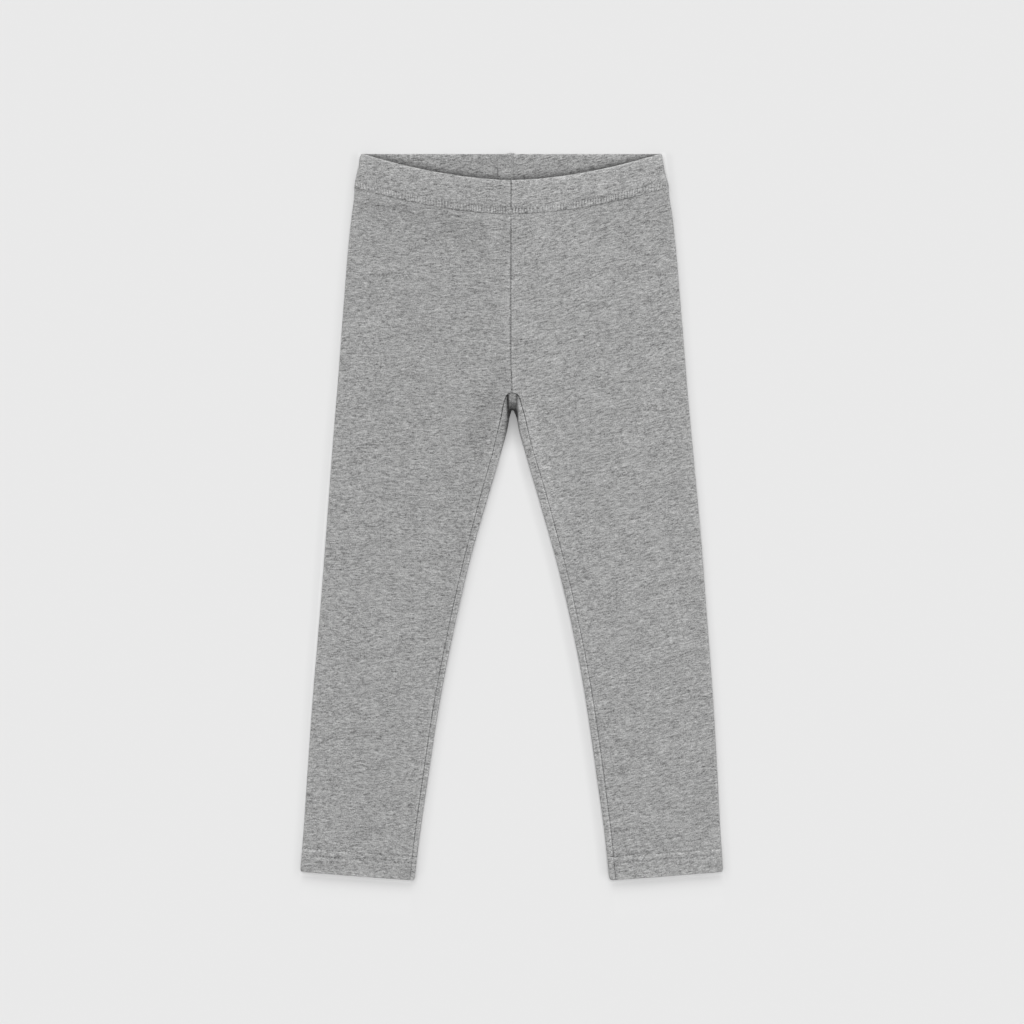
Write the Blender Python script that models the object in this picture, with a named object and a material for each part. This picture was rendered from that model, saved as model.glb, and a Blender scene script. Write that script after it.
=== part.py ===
"""Child's jersey leggings, laid flat on their back.

Each leg is one panel, wrapped from the centre front round the side to the centre back.
Below the crotch the panel closes into a tube at the inseam, whose line lies on the front, a
little outside the inner edge.  A two-piece elastic waistband and two turned-up hems finish it.

Frame: +X to the wearer's left, +Y from the hems to the waist, +Z up.  The origin lies on the
ground below the middle of the outline.  Tables are in millimetres, all else is in metres.

A place on the garment is given as out, the distance from the centre line, drop, the distance
below the waist's back edge, and height above the ground.  The wearer's right half is built from
these and the left half is its mirror image, apart from the creases.
"""

import math
from collections import namedtuple

import bmesh
import bpy
import numpy as np

MM = 0.001

# Cloth
CLOTH = 1.1 * MM  # single jersey
HEM_CLOTH = 1.9 * MM  # jersey turned up double
BAND_CLOTH = 2.4 * MM  # jersey folded over the elastic
SEAM = 0.3 * MM  # between two pieces that are sewn together
SEAM_OUT = SEAM / MM / 2  # out of an edge that lies at the centre front or back, in the tables

# Outline
LENGTH = 581.6 * MM  # from the waist to the lowest corner of the hems
BAND_DEPTH = 27.3 * MM
BAND_DIP = 20.4 * MM  # how far the front of the waist hangs below its back
BAND_DIP_POWER = 1.85
HEM_DEPTH = 18.9 * MM
HEM_SLANT = 6.8 * MM  # how much lower the inner corner of a hem is than its outer corner
HEM_CORNER = 1.0 * MM  # rounding of the outline at a hem's corners

# Heights of the front's outer face above the ground
EDGE_HEIGHT = 2 * CLOTH + 1.0 * MM  # along a leg's rolled edges
DOME = 0.35 * MM  # the front rises this much from its edges
EDGE_FADE = 16 * MM
BAND_SIDE_HEIGHT = 2 * BAND_CLOTH + 0.4 * MM
BAND_FRONT_HEIGHT = 6.4 * MM  # at the centre, where the mouth gapes
BELOW_BAND_STEP = 0.4 * MM  # the panels start this much lower than the band
BAND_FADE = 42 * MM  # length over which the legs sink from the band to their own height
HEM_HEIGHT = 2 * HEM_CLOTH + 0.4 * MM
ABOVE_HEM_STEP = 0.25 * MM
HEM_FADE = 24 * MM
SEAM_VALLEY = 0.35 * MM  # the cloth dips towards the centre front seam
SEAM_VALLEY_WIDTH = 9 * MM
SEAM_VALLEY_FADE = 30 * MM

# Numbers of cells
FRONT_CELLS, BACK_CELLS, FOLD_CELLS, TOP_CELLS = 11, 6, 5, 3
ABOVE_CROTCH_ROWS, BELOW_CROTCH_ROWS = 10, 18
HEM_FRONT_CELLS, HEM_BACK_CELLS = 8, 5

OUTER_EDGE = [
    # drop, out
    (27.6, 126.0), (53.2, 128.8), (117.2, 134.8), (181.2, 139.8), (245.2, 145.4), (309.2, 150.8),
    (373.2, 155.7), (437.2, 160.6), (501.2, 164.6), (574.8, 169.6),
]
INNER_EDGE = [
    # drop, out
    (206.6, 3.3), (212.4, 4.1), (218.0, 5.0), (229.2, 8.1), (245.2, 11.6), (261.2, 15.8),
    (293.2, 24.9), (325.2, 33.9), (357.2, 41.7), (389.2, 48.4), (437.2, 57.5), (485.2, 65.0),
    (533.2, 71.6), (581.6, 77.6),
]
# How far outside the inner edge the inseam runs.
INSEAM_INSET = [
    # drop, width
    (218.0, 4.5), (229.2, 6.5), (245.2, 6.9), (325.2, 6.0), (437.2, 5.5), (501.2, 5.1), (581.6, 4.3),
]
BAND_SIDE = [
    # drop, out
    (0.0, 119.4), (1.2, 120.3), (10.0, 121.9), (20.0, 124.2), (27.6, 126.1),
]

# A rolled edge: where its outline is, which way it faces (0 is towards the centre line, 90 is
# towards the hems) and how high it is.
Fold = namedtuple("Fold", "out drop facing height")
CROTCH_FOLD = [
    Fold(SEAM_OUT, 204.4, 90, 2.70),
    Fold(1.2, 204.5, 82, 2.70),
    Fold(2.4, 205.0, 60, 2.70),
    Fold(3.3, 206.6, 26, 2.75),
    Fold(3.7, 208.8, 14, 2.90),
    Fold(4.1, 212.4, 12, 3.10),
    Fold(5.0, 218.0, 14, 3.20),
]

# Rows of the panel round the crotch.  A row starts at the front edge, runs out to the side, back
# under it and in to the inner fold, where it rolls up and forward to its end.  foot and brow are
# the places in CROTCH_FOLD at which it meets the fold's underside and top.  first, then and last
# count half turns of the fold: 0 is its foot, 1 its brow, and a last above 1 ends on top.  A row
# whose last is 0 ends flat on the ground.
CrotchRow = namedtuple(
    "CrotchRow",
    "front_out front_drop side_drop foot brow first then last end_out end_drop end_height",
)
CROTCH_ROWS = [
    CrotchRow(SEAM_OUT, 182.0, 177.0, 0.0, 0.0, -1.40, -0.40, 0.00, SEAM_OUT, 201.2, 0.0),
    CrotchRow(SEAM_OUT, 183.7, 180.0, 0.0, 0.0, -0.90, -0.20, 0.00, SEAM_OUT, 202.4, 0.0),
    CrotchRow(SEAM_OUT, 185.2, 182.8, 0.5, 0.0, -0.50, 0.00, 0.13, SEAM_OUT, 203.6, 0.1),
    CrotchRow(SEAM_OUT, 186.6, 185.5, 0.9, 0.0, -0.25, 0.20, 0.33, SEAM_OUT, 204.2, 0.6),
    CrotchRow(SEAM_OUT, 187.8, 188.2, 1.3, 0.0, -0.10, 0.40, 0.53, SEAM_OUT, 204.4, 1.4),
    CrotchRow(SEAM_OUT, 188.8, 190.9, 1.6, 0.0, 0.00, 0.60, 0.74, SEAM_OUT, 204.1, 2.1),
    CrotchRow(SEAM_OUT, 189.6, 193.6, 1.9, 0.0, 0.00, 0.80, 1.00, SEAM_OUT, 203.1, 2.7),
    CrotchRow(SEAM_OUT, 190.4, 196.3, 2.2, 1.2, 0.00, 1.00, 2.00, SEAM_OUT, 199.1, 2.7),
    CrotchRow(SEAM_OUT, 191.2, 199.0, 2.5, 2.0, 0.00, 1.00, 2.00, SEAM_OUT, 191.6, 2.7),
    CrotchRow(2.30, 191.7, 201.8, 3.0, 2.7, 0.00, 1.00, 2.00, 2.10, 192.1, 2.75),
    CrotchRow(4.00, 192.3, 204.8, 3.5, 3.3, 0.00, 1.00, 2.00, 3.70, 192.7, 2.8),
    CrotchRow(5.50, 194.6, 208.4, 4.2, 4.2, 0.00, 1.00, 2.00, 5.20, 194.9, 3.1),
    CrotchRow(7.25, 200.0, 213.4, 5.0, 5.0, 0.00, 1.00, 2.00, 6.95, 200.2, 3.3),
    CrotchRow(9.30, 208.2, 219.4, 6.0, 6.0, 0.00, 1.00, 2.00, 9.00, 208.4, 3.4),
]

RIGHT, LEFT = -1, 1

# Soft ridges (height above 0) and troughs that the lying cloth keeps.  The angle is from the
# outward direction towards the hems.
Crease = namedtuple("Crease", "side out drop angle length width height")
CREASES = [
    Crease(RIGHT, 78, 48, -14, 62, 11, -0.45),
    Crease(RIGHT, 30, 82, -38, 46, 13, -0.40),
    Crease(RIGHT, 100, 110, 8, 40, 16, 0.35),
    Crease(RIGHT, 62, 150, -6, 60, 15, -0.30),
    Crease(RIGHT, 34, 205, -62, 52, 12, -0.40),
    Crease(RIGHT, 92, 216, 4, 52, 16, 0.30),
    Crease(RIGHT, 84, 300, -12, 60, 17, -0.30),
    Crease(RIGHT, 96, 392, 6, 54, 18, 0.35),
    Crease(RIGHT, 118, 468, -8, 46, 15, -0.35),
    Crease(RIGHT, 112, 524, 10, 42, 14, -0.30),
    Crease(LEFT, 92, 46, 12, 56, 11, -0.40),
    Crease(LEFT, 40, 66, 20, 46, 14, 0.40),
    Crease(LEFT, 34, 128, 48, 52, 13, 0.35),
    Crease(LEFT, 88, 168, 5, 60, 17, -0.30),
    Crease(LEFT, 42, 190, 58, 50, 12, 0.40),
    Crease(LEFT, 96, 262, -7, 58, 16, 0.30),
    Crease(LEFT, 88, 348, 9, 56, 17, -0.30),
    Crease(LEFT, 112, 436, -5, 50, 16, 0.35),
    Crease(LEFT, 126, 500, 12, 44, 14, -0.35),
    Crease(LEFT, 108, 540, -9, 40, 13, -0.30),
]

# The centre back seam's allowance, pressed towards the wearer's right inside the waistband.
ALLOWANCE_FROM, ALLOWANCE_TO = -11.6 * MM, 1.2 * MM
ALLOWANCE_CLOTH = 1.0 * MM
ALLOWANCE_INSET = 0.5 * MM  # from the upper and lower edges of the band

HEATHER_GREY = (0.335, 0.335, 0.333, 1.0)
HEATHER_GREY_DARK = (0.300, 0.300, 0.298, 1.0)

# A place on a piece's outer face, and the direction from there into the cloth.
Spot = namedtuple("Spot", "out drop height into")
UP, DOWN = (0.0, 0.0, 1.0), (0.0, 0.0, -1.0)

# One row of a panel.  front is (out, drop) of its front edge, stops is (first, then, last) as in
# CrotchRow and end is (out, drop, height).
PanelRow = namedtuple("PanelRow", "front side_drop foot brow stops end dip_power")


def along(table, at):
    """The value of a (place, value) table at a place in metres, on a smooth curve."""
    places, values = np.array(table, float).T * MM
    slopes = np.gradient(values, places)
    i = int(np.clip(np.searchsorted(places, at) - 1, 0, len(places) - 2))
    span = places[i + 1] - places[i]
    t = (at - places[i]) / span
    if t <= 0 or t >= 1:
        end = 0 if t <= 0 else 1
        return values[i + end] + (at - places[i + end]) * slopes[i + end]
    rise = values[i + 1] - values[i]
    start, finish = slopes[i] * span - rise, rise - slopes[i + 1] * span
    return values[i] + t * rise + t * (1 - t) * ((1 - t) * start + t * finish)


def ease(t):
    """0 to 1 with level ends."""
    t = min(1.0, max(0.0, t))
    return t * t * (3 - 2 * t)


def mix(a, b, t):
    return a + (b - a) * t


def mixed(a, b, t):
    return tuple(mix(p, q, t) for p, q in zip(a, b))


def outer_edge(drop):
    return along(OUTER_EDGE, drop)


def inner_edge(drop):
    return along(INNER_EDGE, drop)


def inseam(drop):
    return inner_edge(drop) + along(INSEAM_INSET, drop)


def front_dip(out, side_out):
    """How far the waist's front hangs below its back, at a distance from the centre line."""
    return BAND_DIP * (1 - min(1.0, out / side_out) ** BAND_DIP_POWER)


def edge_height(drop):
    """Height of a leg's rolled edges, which are higher beside the band and beside the hem."""
    near_band = 1 - ease((drop - BAND_DEPTH) / BAND_FADE)
    near_hem = ease((drop - (LENGTH - HEM_SLANT - HEM_DEPTH - HEM_FADE)) / HEM_FADE)
    at_band = BAND_SIDE_HEIGHT - BELOW_BAND_STEP
    at_hem = HEM_HEIGHT - ABOVE_HEM_STEP
    return EDGE_HEIGHT + near_band * (at_band - EDGE_HEIGHT) + near_hem * (at_hem - EDGE_HEIGHT)


def to_inner_edge(out, drop):
    """Distance of a place on the front from the inner edge or the arch of the crotch."""
    arch_drop, arch_out = INNER_EDGE[0][0] * MM, INNER_EDGE[0][1] * MM
    if drop < arch_drop:
        return math.hypot(max(0.0, out - arch_out), arch_drop - drop)
    return out - inner_edge(drop)


def crease_height(side, out, drop):
    total = 0.0
    for crease in CREASES:
        if crease.side != side:
            continue
        turn = math.radians(crease.angle)
        across, down = out - crease.out * MM, drop - crease.drop * MM
        lengthwise = (across * math.cos(turn) + down * math.sin(turn)) / (crease.length * MM / 2)
        sideways = (down * math.cos(turn) - across * math.sin(turn)) / (crease.width * MM / 2)
        total += crease.height * MM * math.exp(-(lengthwise**2) - sideways**2)
    return total


def seam_valley(out, drop):
    fade = ease((CROTCH_FOLD[0].drop * MM - drop) / SEAM_VALLEY_FADE)
    return SEAM_VALLEY * fade * math.exp(-((out / SEAM_VALLEY_WIDTH) ** 2))


def front_height(side, out, drop):
    """Height of the outer face of a leg's front."""
    side_out = outer_edge(drop)
    below_band = drop - BAND_DEPTH - front_dip(out, side_out)
    near_band = 1 - ease(below_band / BAND_FADE)
    gape = (BAND_FRONT_HEIGHT - BAND_SIDE_HEIGHT) * near_band * (1 - (out / side_out) ** 2)
    level = edge_height(drop - front_dip(out, side_out) * near_band)
    inside = ease((side_out - out) / EDGE_FADE) * ease(to_inner_edge(out, drop) / EDGE_FADE + 0.12)
    relief = crease_height(side, out, drop) + DOME - seam_valley(out, drop)
    return level + gape + inside * relief * (1 - near_band)


def fold_spot(fold, turned):
    """A spot on a rolled edge.  turned is 0 at its foot, on the ground, and 1 at its brow."""
    radius, facing, angle = fold.height * MM / 2, math.radians(fold.facing), math.pi * turned
    way = (-math.cos(facing), math.sin(facing))
    reach = radius * (math.sin(angle) - 1)
    out, drop = fold.out * MM + way[0] * reach, fold.drop * MM + way[1] * reach
    into = (-way[0] * math.sin(angle), -way[1] * math.sin(angle), math.cos(angle))
    return Spot(out, drop, radius * (1 - math.cos(angle)), into)


def crotch_fold(place):
    i = min(int(place), len(CROTCH_FOLD) - 2)
    return Fold(*mixed(CROTCH_FOLD[i], CROTCH_FOLD[i + 1], place - i))


def side_fold(side_out, radius, drop_at):
    """The outer rolled edge from its brow round to its foot, without those two."""
    spots = []
    for k in range(1, FOLD_CELLS):
        angle = math.pi * k / FOLD_CELLS
        out = side_out - radius + radius * math.sin(angle)
        height = radius * (1 + math.cos(angle))
        into = (-math.sin(angle), 0.0, -math.cos(angle))
        spots.append(Spot(out, drop_at(out, height > radius), height, into))
    return spots


def flat_end(drop):
    """A fold whose foot is on the centre line, for a row that ends there on the ground."""
    height = CROTCH_FOLD[0].height
    return Fold(SEAM_OUT - height / 2, drop, 0.0, height)


def inner_roll(row, start):
    """The last spots of a row: in along the ground, up round the inner fold and out on top."""
    first, then, last = row.stops
    stops = list(np.linspace(first, then, FOLD_CELLS + 1))
    stops += list(np.linspace(then, last, TOP_CELLS + 1)[1:])
    foot, brow = fold_spot(row.foot, 0.0), fold_spot(row.brow, 1.0)
    half_turn = math.pi * row.foot.height * MM / 2
    spots = []
    for stop in stops:
        if stop <= 0:
            back = -stop * half_turn / math.dist(start[:2], foot[:2])
            spots.append(Spot(mix(foot.out, start.out, back), mix(foot.drop, start.drop, back), 0.0, UP))
        elif stop <= 1:
            spots.append(fold_spot(Fold(*mixed(row.foot, row.brow, stop / min(1.0, last))), stop))
        else:
            spots.append(Spot(*mixed(brow[:3], row.end, (stop - 1) / (last - 1)), DOWN))
    return spots


def panel_row(side, row):
    """One row of a leg panel, from its front edge round to its back edge."""
    side_out = outer_edge(row.side_drop)
    radius = edge_height(row.side_drop) / 2
    front_out, front_drop = row.front

    def drop_at(out, on_front):
        share = max(0.0, out - front_out) / (side_out - front_out)
        return row.side_drop + on_front * (front_drop - row.side_drop) * (1 - share**row.dip_power)

    spots = []
    for k in range(FRONT_CELLS + 1):
        out = mix(front_out, side_out - radius, k / FRONT_CELLS)
        drop = drop_at(out, True)
        height = 2 * radius if k == FRONT_CELLS else front_height(side, out, drop)
        spots.append(Spot(out, drop, height, DOWN))
    spots += side_fold(side_out, radius, drop_at)
    start = Spot(side_out - radius, row.side_drop, 0.0, UP)
    roll = inner_roll(row, start)
    for k in range(BACK_CELLS):
        out, drop = mixed(start[:2], roll[0][:2], k / BACK_CELLS)
        spots.append(Spot(out, drop, 0.0, UP))
    return spots + roll


def rows_above_crotch():
    """Rows from the waistband down to the first row of the crotch."""
    last = CROTCH_ROWS[0]
    top, dip = (BAND_DEPTH + SEAM) / MM, BAND_DIP / MM
    for k in range(ABOVE_CROTCH_ROWS):
        t = k / ABOVE_CROTCH_ROWS
        foot = flat_end(mix(top, last.end_drop, t))
        yield PanelRow(
            (SEAM / 2, mix(top + dip, last.front_drop, t) * MM), mix(top, last.side_drop, t) * MM,
            foot, foot, (last.first, last.then, last.last), None, BAND_DIP_POWER,
        )


def rows_at_crotch():
    for k, row in enumerate(CROTCH_ROWS):
        foot = crotch_fold(row.foot) if row.last else flat_end(row.end_drop)
        yield PanelRow(
            (row.front_out * MM, row.front_drop * MM), row.side_drop * MM,
            foot, crotch_fold(row.brow), (row.first, row.then, row.last),
            (row.end_out * MM, row.end_drop * MM, row.end_height * MM),
            mix(BAND_DIP_POWER, 1.0, k / (len(CROTCH_ROWS) - 1)),
        )


def hem_line(lift):
    """Drops of the outer and inner ends of a line that runs lift above the hem's edge."""
    return LENGTH - HEM_SLANT - lift, LENGTH - lift


def tube_row(side, side_drop, inner_drop, end_drop):
    """A row of a leg below the crotch, closed at the inseam."""
    seam_out = inseam(end_drop)
    slope = (inner_edge(inner_drop + MM) - inner_edge(inner_drop - MM)) / (2 * MM)
    fold = Fold(
        inner_edge(inner_drop) / MM, inner_drop / MM, math.degrees(math.atan(slope)),
        edge_height(side_drop) / MM,
    )
    return PanelRow(
        (seam_out + SEAM / 2, end_drop), side_drop, fold, fold, (0.0, 1.0, 2.0),
        (seam_out - SEAM / 2, end_drop, front_height(side, seam_out, end_drop)), 1.0,
    )


def rows_below_crotch(side):
    """Rows from the last row of the crotch down to the hem."""
    above = CROTCH_ROWS[-1]
    hem_side, hem_inner = hem_line(HEM_DEPTH + SEAM)
    inset_share = along(INSEAM_INSET, hem_inner) / (outer_edge(hem_side) - inner_edge(hem_inner))
    hem_end = hem_inner - HEM_SLANT * inset_share
    for k in range(1, BELOW_CROTCH_ROWS + 1):
        t = k / BELOW_CROTCH_ROWS
        yield tube_row(
            side,
            mix(above.side_drop * MM, hem_side, t),
            mix(CROTCH_FOLD[-1].drop * MM, hem_inner, t),
            mix(above.end_drop * MM, hem_end, t),
        )


def panel_grid(side):
    rows = [*rows_above_crotch(), *rows_at_crotch(), *rows_below_crotch(side)]
    return [panel_row(side, row) for row in rows]


def placed(side, spot, depth=0.0):
    """World coordinates of the point that lies depth below a spot."""
    out, drop, height = (p + q * depth for p, q in zip(spot[:3], spot.into))
    return (side * out, LENGTH / 2 - drop, height)


def material(name, colour):
    made = bpy.data.materials.new(name)
    made.use_nodes = True
    shader = made.node_tree.nodes["Principled BSDF"]
    shader.inputs["Base Color"].default_value = colour
    shader.inputs["Roughness"].default_value = 0.92
    shader.inputs["Metallic"].default_value = 0.0
    return made


def mesh_object(name, points, faces, finish):
    mesh = bpy.data.meshes.new(name)
    work = bmesh.new()
    corners = [work.verts.new(point) for point in points]
    for face in faces:
        work.faces.new([corners[i] for i in face])
    work.to_mesh(mesh)
    work.free()
    mesh.materials.append(finish)
    obj = bpy.data.objects.new(name, mesh)
    bpy.context.scene.collection.objects.link(obj)
    mesh.shade_smooth()
    mesh.set_sharp_from_angle(angle=math.radians(50))
    return obj


def facing_out(side, face):
    """A face that is in order on the wearer's right is turned round on the left."""
    return face if side == RIGHT else face[::-1]


def grid_faces(rows, columns, closed_rows=False):
    faces = []
    for r in range(rows if closed_rows else rows - 1):
        here, below = r * columns, (r + 1) % rows * columns
        faces += [(here + c, here + c + 1, below + c + 1, below + c) for c in range(columns - 1)]
    return faces


def leg_panel(name, side, finish):
    """A single layer of cloth below a grid of spots."""
    grid = panel_grid(side)
    rows, columns = len(grid), len(grid[0])
    count = rows * columns
    points = [placed(side, spot, depth) for depth in (0.0, CLOTH) for row in grid for spot in row]
    faces = grid_faces(rows, columns)
    faces += [tuple(count + i for i in face[::-1]) for face in faces]
    rim = list(range(columns))
    rim += [r * columns + columns - 1 for r in range(1, rows)]
    rim += [(rows - 1) * columns + c for c in range(columns - 2, -1, -1)]
    rim += [r * columns for r in range(rows - 2, 0, -1)]
    faces += [(b, a, count + a, count + b) for a, b in zip(rim, rim[1:] + rim[:1])]
    return mesh_object(name, points, [facing_out(side, face) for face in faces], finish)


def rim_profile(depth, thickness, fold_upper, fold_lower):
    """Outline of a band's section as (place across the band, depth into the cloth), each 0 to 1.
    A folded edge is fully rounded and a sewn edge has small corners."""
    nose = thickness / 2 / depth

    def edge(folded):
        if not folded:
            return [(0.25 * nose, 0.0), (0.0, 0.12), (0.0, 0.88), (0.25 * nose, 1.0)]
        angles = [math.pi * k / 6 for k in range(7)]
        return [(nose * (1 - math.sin(a)), (1 - math.cos(a)) / 2) for a in angles]

    lower = [(1 - across, into) for across, into in edge(fold_lower)]
    return edge(fold_upper)[::-1] + [(0.35, 0.0), (0.7, 0.0)] + lower + [(0.7, 1.0), (0.35, 1.0)]


def band(name, side, spots_at, thickness, profile, finish):
    """A thick band.  spots_at(across) gives the stations of its outer face."""
    loops = [[placed(side, s, thickness * into) for s in spots_at(across)] for across, into in profile]
    stations = len(loops[0])
    faces = grid_faces(len(loops), stations, closed_rows=True)
    starts = [k * stations for k in range(len(loops))]
    faces += [starts, [start + stations - 1 for start in starts[::-1]]]
    points = [point for loop in loops for point in loop]
    return mesh_object(name, points, [facing_out(side, face) for face in faces], finish)


def waistband_spots(across):
    """Stations of half the waistband from the centre front to the centre back."""
    drop = across * BAND_DEPTH
    side_out = along(BAND_SIDE, drop)
    radius = BAND_SIDE_HEIGHT / 2

    def drop_at(out, on_front):
        return drop + on_front * front_dip(out, side_out)

    spots = []
    for k in range(FRONT_CELLS + 1):
        out = mix(SEAM / 2, side_out - radius, k / FRONT_CELLS)
        rise = (BAND_FRONT_HEIGHT - BAND_SIDE_HEIGHT) * (1 - (out / (side_out - radius)) ** 2)
        spots.append(Spot(out, drop_at(out, True), BAND_SIDE_HEIGHT + rise, DOWN))
    spots += side_fold(side_out, radius, drop_at)
    for k in range(BACK_CELLS + 1):
        spots.append(Spot(mix(side_out - radius, SEAM / 2, k / BACK_CELLS), drop, 0.0, UP))
    return spots


def hem_spots(across):
    """Stations of a hem from the inseam round the leg and back to the inseam."""
    lift = (1 - across) * HEM_DEPTH
    side_drop, inner_drop = hem_line(lift)
    eased = HEM_CORNER * math.exp(-lift / HEM_CORNER)
    side_out, inner_out = outer_edge(side_drop) - eased, inner_edge(inner_drop) + eased
    slant = (inner_drop - side_drop) / (side_out - inner_out)
    seam_out = inseam(inner_drop)
    radius = HEM_HEIGHT / 2

    def drop_at(out, on_front=True):
        return side_drop + (side_out - out) * slant

    def run(from_out, to_out, cells, height, into):
        outs = [mix(from_out, to_out, k / cells) for k in range(cells + 1)]
        return [Spot(out, drop_at(out), height, into) for out in outs]

    fold = Fold(inner_out / MM, 0.0, 0.0, HEM_HEIGHT / MM)
    inner = [fold_spot(fold, k / FOLD_CELLS) for k in range(1, FOLD_CELLS + 1)]
    return [
        *run(seam_out + SEAM / 2, side_out - radius, HEM_FRONT_CELLS, HEM_HEIGHT, DOWN),
        *side_fold(side_out, radius, drop_at),
        *run(side_out - radius, inner_out + radius, HEM_BACK_CELLS, 0.0, UP),
        *[spot._replace(drop=drop_at(spot.out)) for spot in inner],
        Spot(seam_out - SEAM / 2, drop_at(seam_out), HEM_HEIGHT, DOWN),
    ]


def seam_allowance(finish):
    low = BAND_CLOTH + SEAM
    upper, lower = LENGTH / 2 - ALLOWANCE_INSET, LENGTH / 2 - BAND_DEPTH + ALLOWANCE_INSET
    points = [
        (x, y, z)
        for z in (low, low + ALLOWANCE_CLOTH)
        for y in (lower, upper)
        for x in (ALLOWANCE_FROM, ALLOWANCE_TO)
    ]
    faces = [(0, 2, 3, 1), (4, 5, 7, 6), (0, 1, 5, 4), (2, 6, 7, 3), (0, 4, 6, 2), (1, 3, 7, 5)]
    obj = mesh_object("seam_allowance_back", points, faces, finish)
    softened = obj.modifiers.new("Soft edges", "BEVEL")
    softened.width = 0.3 * MM
    softened.segments = 2
    return obj


def build():
    for obj in list(bpy.data.objects):
        bpy.data.objects.remove(obj)
    jersey = material("heather_jersey", HEATHER_GREY)
    doubled = material("heather_jersey_doubled", HEATHER_GREY_DARK)
    band_profile = rim_profile(BAND_DEPTH, BAND_CLOTH, True, False)
    hem_profile = rim_profile(HEM_DEPTH, HEM_CLOTH, False, True)
    for side, word in ((RIGHT, "right"), (LEFT, "left")):
        leg_panel(f"leg_{word}", side, jersey)
        band(f"waistband_{word}", side, waistband_spots, BAND_CLOTH, band_profile, doubled)
        band(f"hem_{word}", side, hem_spots, HEM_CLOTH, hem_profile, doubled)
    seam_allowance(doubled)


build()
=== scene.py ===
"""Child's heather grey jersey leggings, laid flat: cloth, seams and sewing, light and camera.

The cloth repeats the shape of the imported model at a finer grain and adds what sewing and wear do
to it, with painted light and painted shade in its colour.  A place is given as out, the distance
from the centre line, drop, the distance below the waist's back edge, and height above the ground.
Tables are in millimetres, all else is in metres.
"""

import math
from collections import namedtuple

import bpy
import numpy as np
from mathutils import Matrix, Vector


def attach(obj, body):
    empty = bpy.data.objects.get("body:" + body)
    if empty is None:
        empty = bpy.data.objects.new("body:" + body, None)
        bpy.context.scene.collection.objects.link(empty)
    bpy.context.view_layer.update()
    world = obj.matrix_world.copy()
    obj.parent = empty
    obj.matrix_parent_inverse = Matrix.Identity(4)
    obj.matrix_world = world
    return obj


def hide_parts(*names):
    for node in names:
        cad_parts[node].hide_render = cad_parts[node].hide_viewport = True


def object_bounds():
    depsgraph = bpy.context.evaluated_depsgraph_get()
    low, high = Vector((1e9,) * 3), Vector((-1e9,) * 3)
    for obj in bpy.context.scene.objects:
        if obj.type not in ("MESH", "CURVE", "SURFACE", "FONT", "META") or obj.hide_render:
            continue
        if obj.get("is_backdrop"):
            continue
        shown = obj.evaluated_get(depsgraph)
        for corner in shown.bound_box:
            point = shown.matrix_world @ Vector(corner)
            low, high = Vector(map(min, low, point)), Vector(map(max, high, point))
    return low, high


MM = 0.001

# Cloth
CLOTH = 1.1 * MM  # single jersey
HEM_CLOTH = 1.9 * MM  # jersey turned up double
BAND_CLOTH = 2.4 * MM  # jersey folded over the elastic
SEAM = 0.06 * MM  # between two pieces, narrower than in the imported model
SEAM_OUT = SEAM / MM / 2  # millimetres from the centre line to a piece's edge

# Outline
LENGTH = 581.6 * MM
BAND_DEPTH = 27.3 * MM
BAND_DIP = 21.6 * MM
BAND_DIP_POWER = 1.72
HEM_DEPTH = 19.5 * MM
HEM_SLANT = 6.8 * MM
HEM_CORNER = 1.0 * MM

# Heights of the front's outer face above the ground
EDGE_HEIGHT = 2 * CLOTH + 1.0 * MM
DOME = 0.35 * MM
BROAD_DOME = 0.8 * MM
EDGE_FADE = 16 * MM
BAND_SIDE_HEIGHT = 2 * BAND_CLOTH + 0.4 * MM
BAND_FRONT_HEIGHT = 8.0 * MM
BELOW_BAND_STEP = 0.25 * MM
BAND_FADE = 42 * MM
HEM_HEIGHT = 2 * HEM_CLOTH + 0.4 * MM
ABOVE_HEM_STEP = 0.1 * MM
HEM_FADE = 24 * MM
SEAM_VALLEY = 0.35 * MM
SEAM_VALLEY_WIDTH = 9 * MM
SEAM_VALLEY_FADE = 30 * MM

OUTER_EDGE = [
    # drop, out
    (27.6, 126.0), (53.2, 128.8), (117.2, 134.8), (181.2, 139.8), (245.2, 145.4), (309.2, 150.8),
    (373.2, 155.7), (437.2, 160.6), (501.2, 164.6), (574.8, 169.6),
]
INNER_EDGE = [
    # drop, out
    (206.6, 3.3), (212.4, 4.1), (218.0, 5.0), (229.2, 8.1), (245.2, 11.6), (261.2, 15.8),
    (293.2, 24.9), (325.2, 33.9), (357.2, 41.7), (389.2, 48.4), (437.2, 57.5), (485.2, 65.0),
    (533.2, 71.6), (581.6, 77.6),
]
INSEAM_INSET = [
    # drop, width
    (218.0, 4.5), (229.2, 6.5), (245.2, 6.9), (325.2, 6.0), (437.2, 5.5), (501.2, 5.1),
    (581.6, 4.3),
]
BAND_SIDE = [
    # drop, out
    (0.0, 120.0), (1.2, 120.7), (10.0, 121.9), (20.0, 124.2), (27.6, 126.1),
]

# A rolled edge: where its outline is, which way it faces, how high it is and how far its foot
# reaches beyond it.
Fold = namedtuple("Fold", "out drop facing height foot_out foot_drop", defaults=(0.0, 0.0))
CROTCH_FOLD = [Fold(*fold) for fold in (
    (SEAM_OUT, 204.4, 90, 2.70, 0.0, 0.5), (1.2, 204.5, 82, 2.70, -0.1, 1.5),
    (2.4, 205.0, 60, 2.70, -0.7, 2.3), (3.3, 206.6, 26, 2.75, -1.0, 2.2),
    (3.7, 208.8, 14, 2.90, -0.8, 1.7), (4.1, 212.4, 12, 3.10, -0.6, 0.8),
    (5.0, 218.0, 14, 3.20, -0.6, 0.0),
)]
FOOT_REACH = [
    # drop, reach beyond the fold
    (218.0, 0.6), (226.0, 0.6), (236.0, 0.25), (248.0, 0.0), (581.6, 0.0),
]

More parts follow.
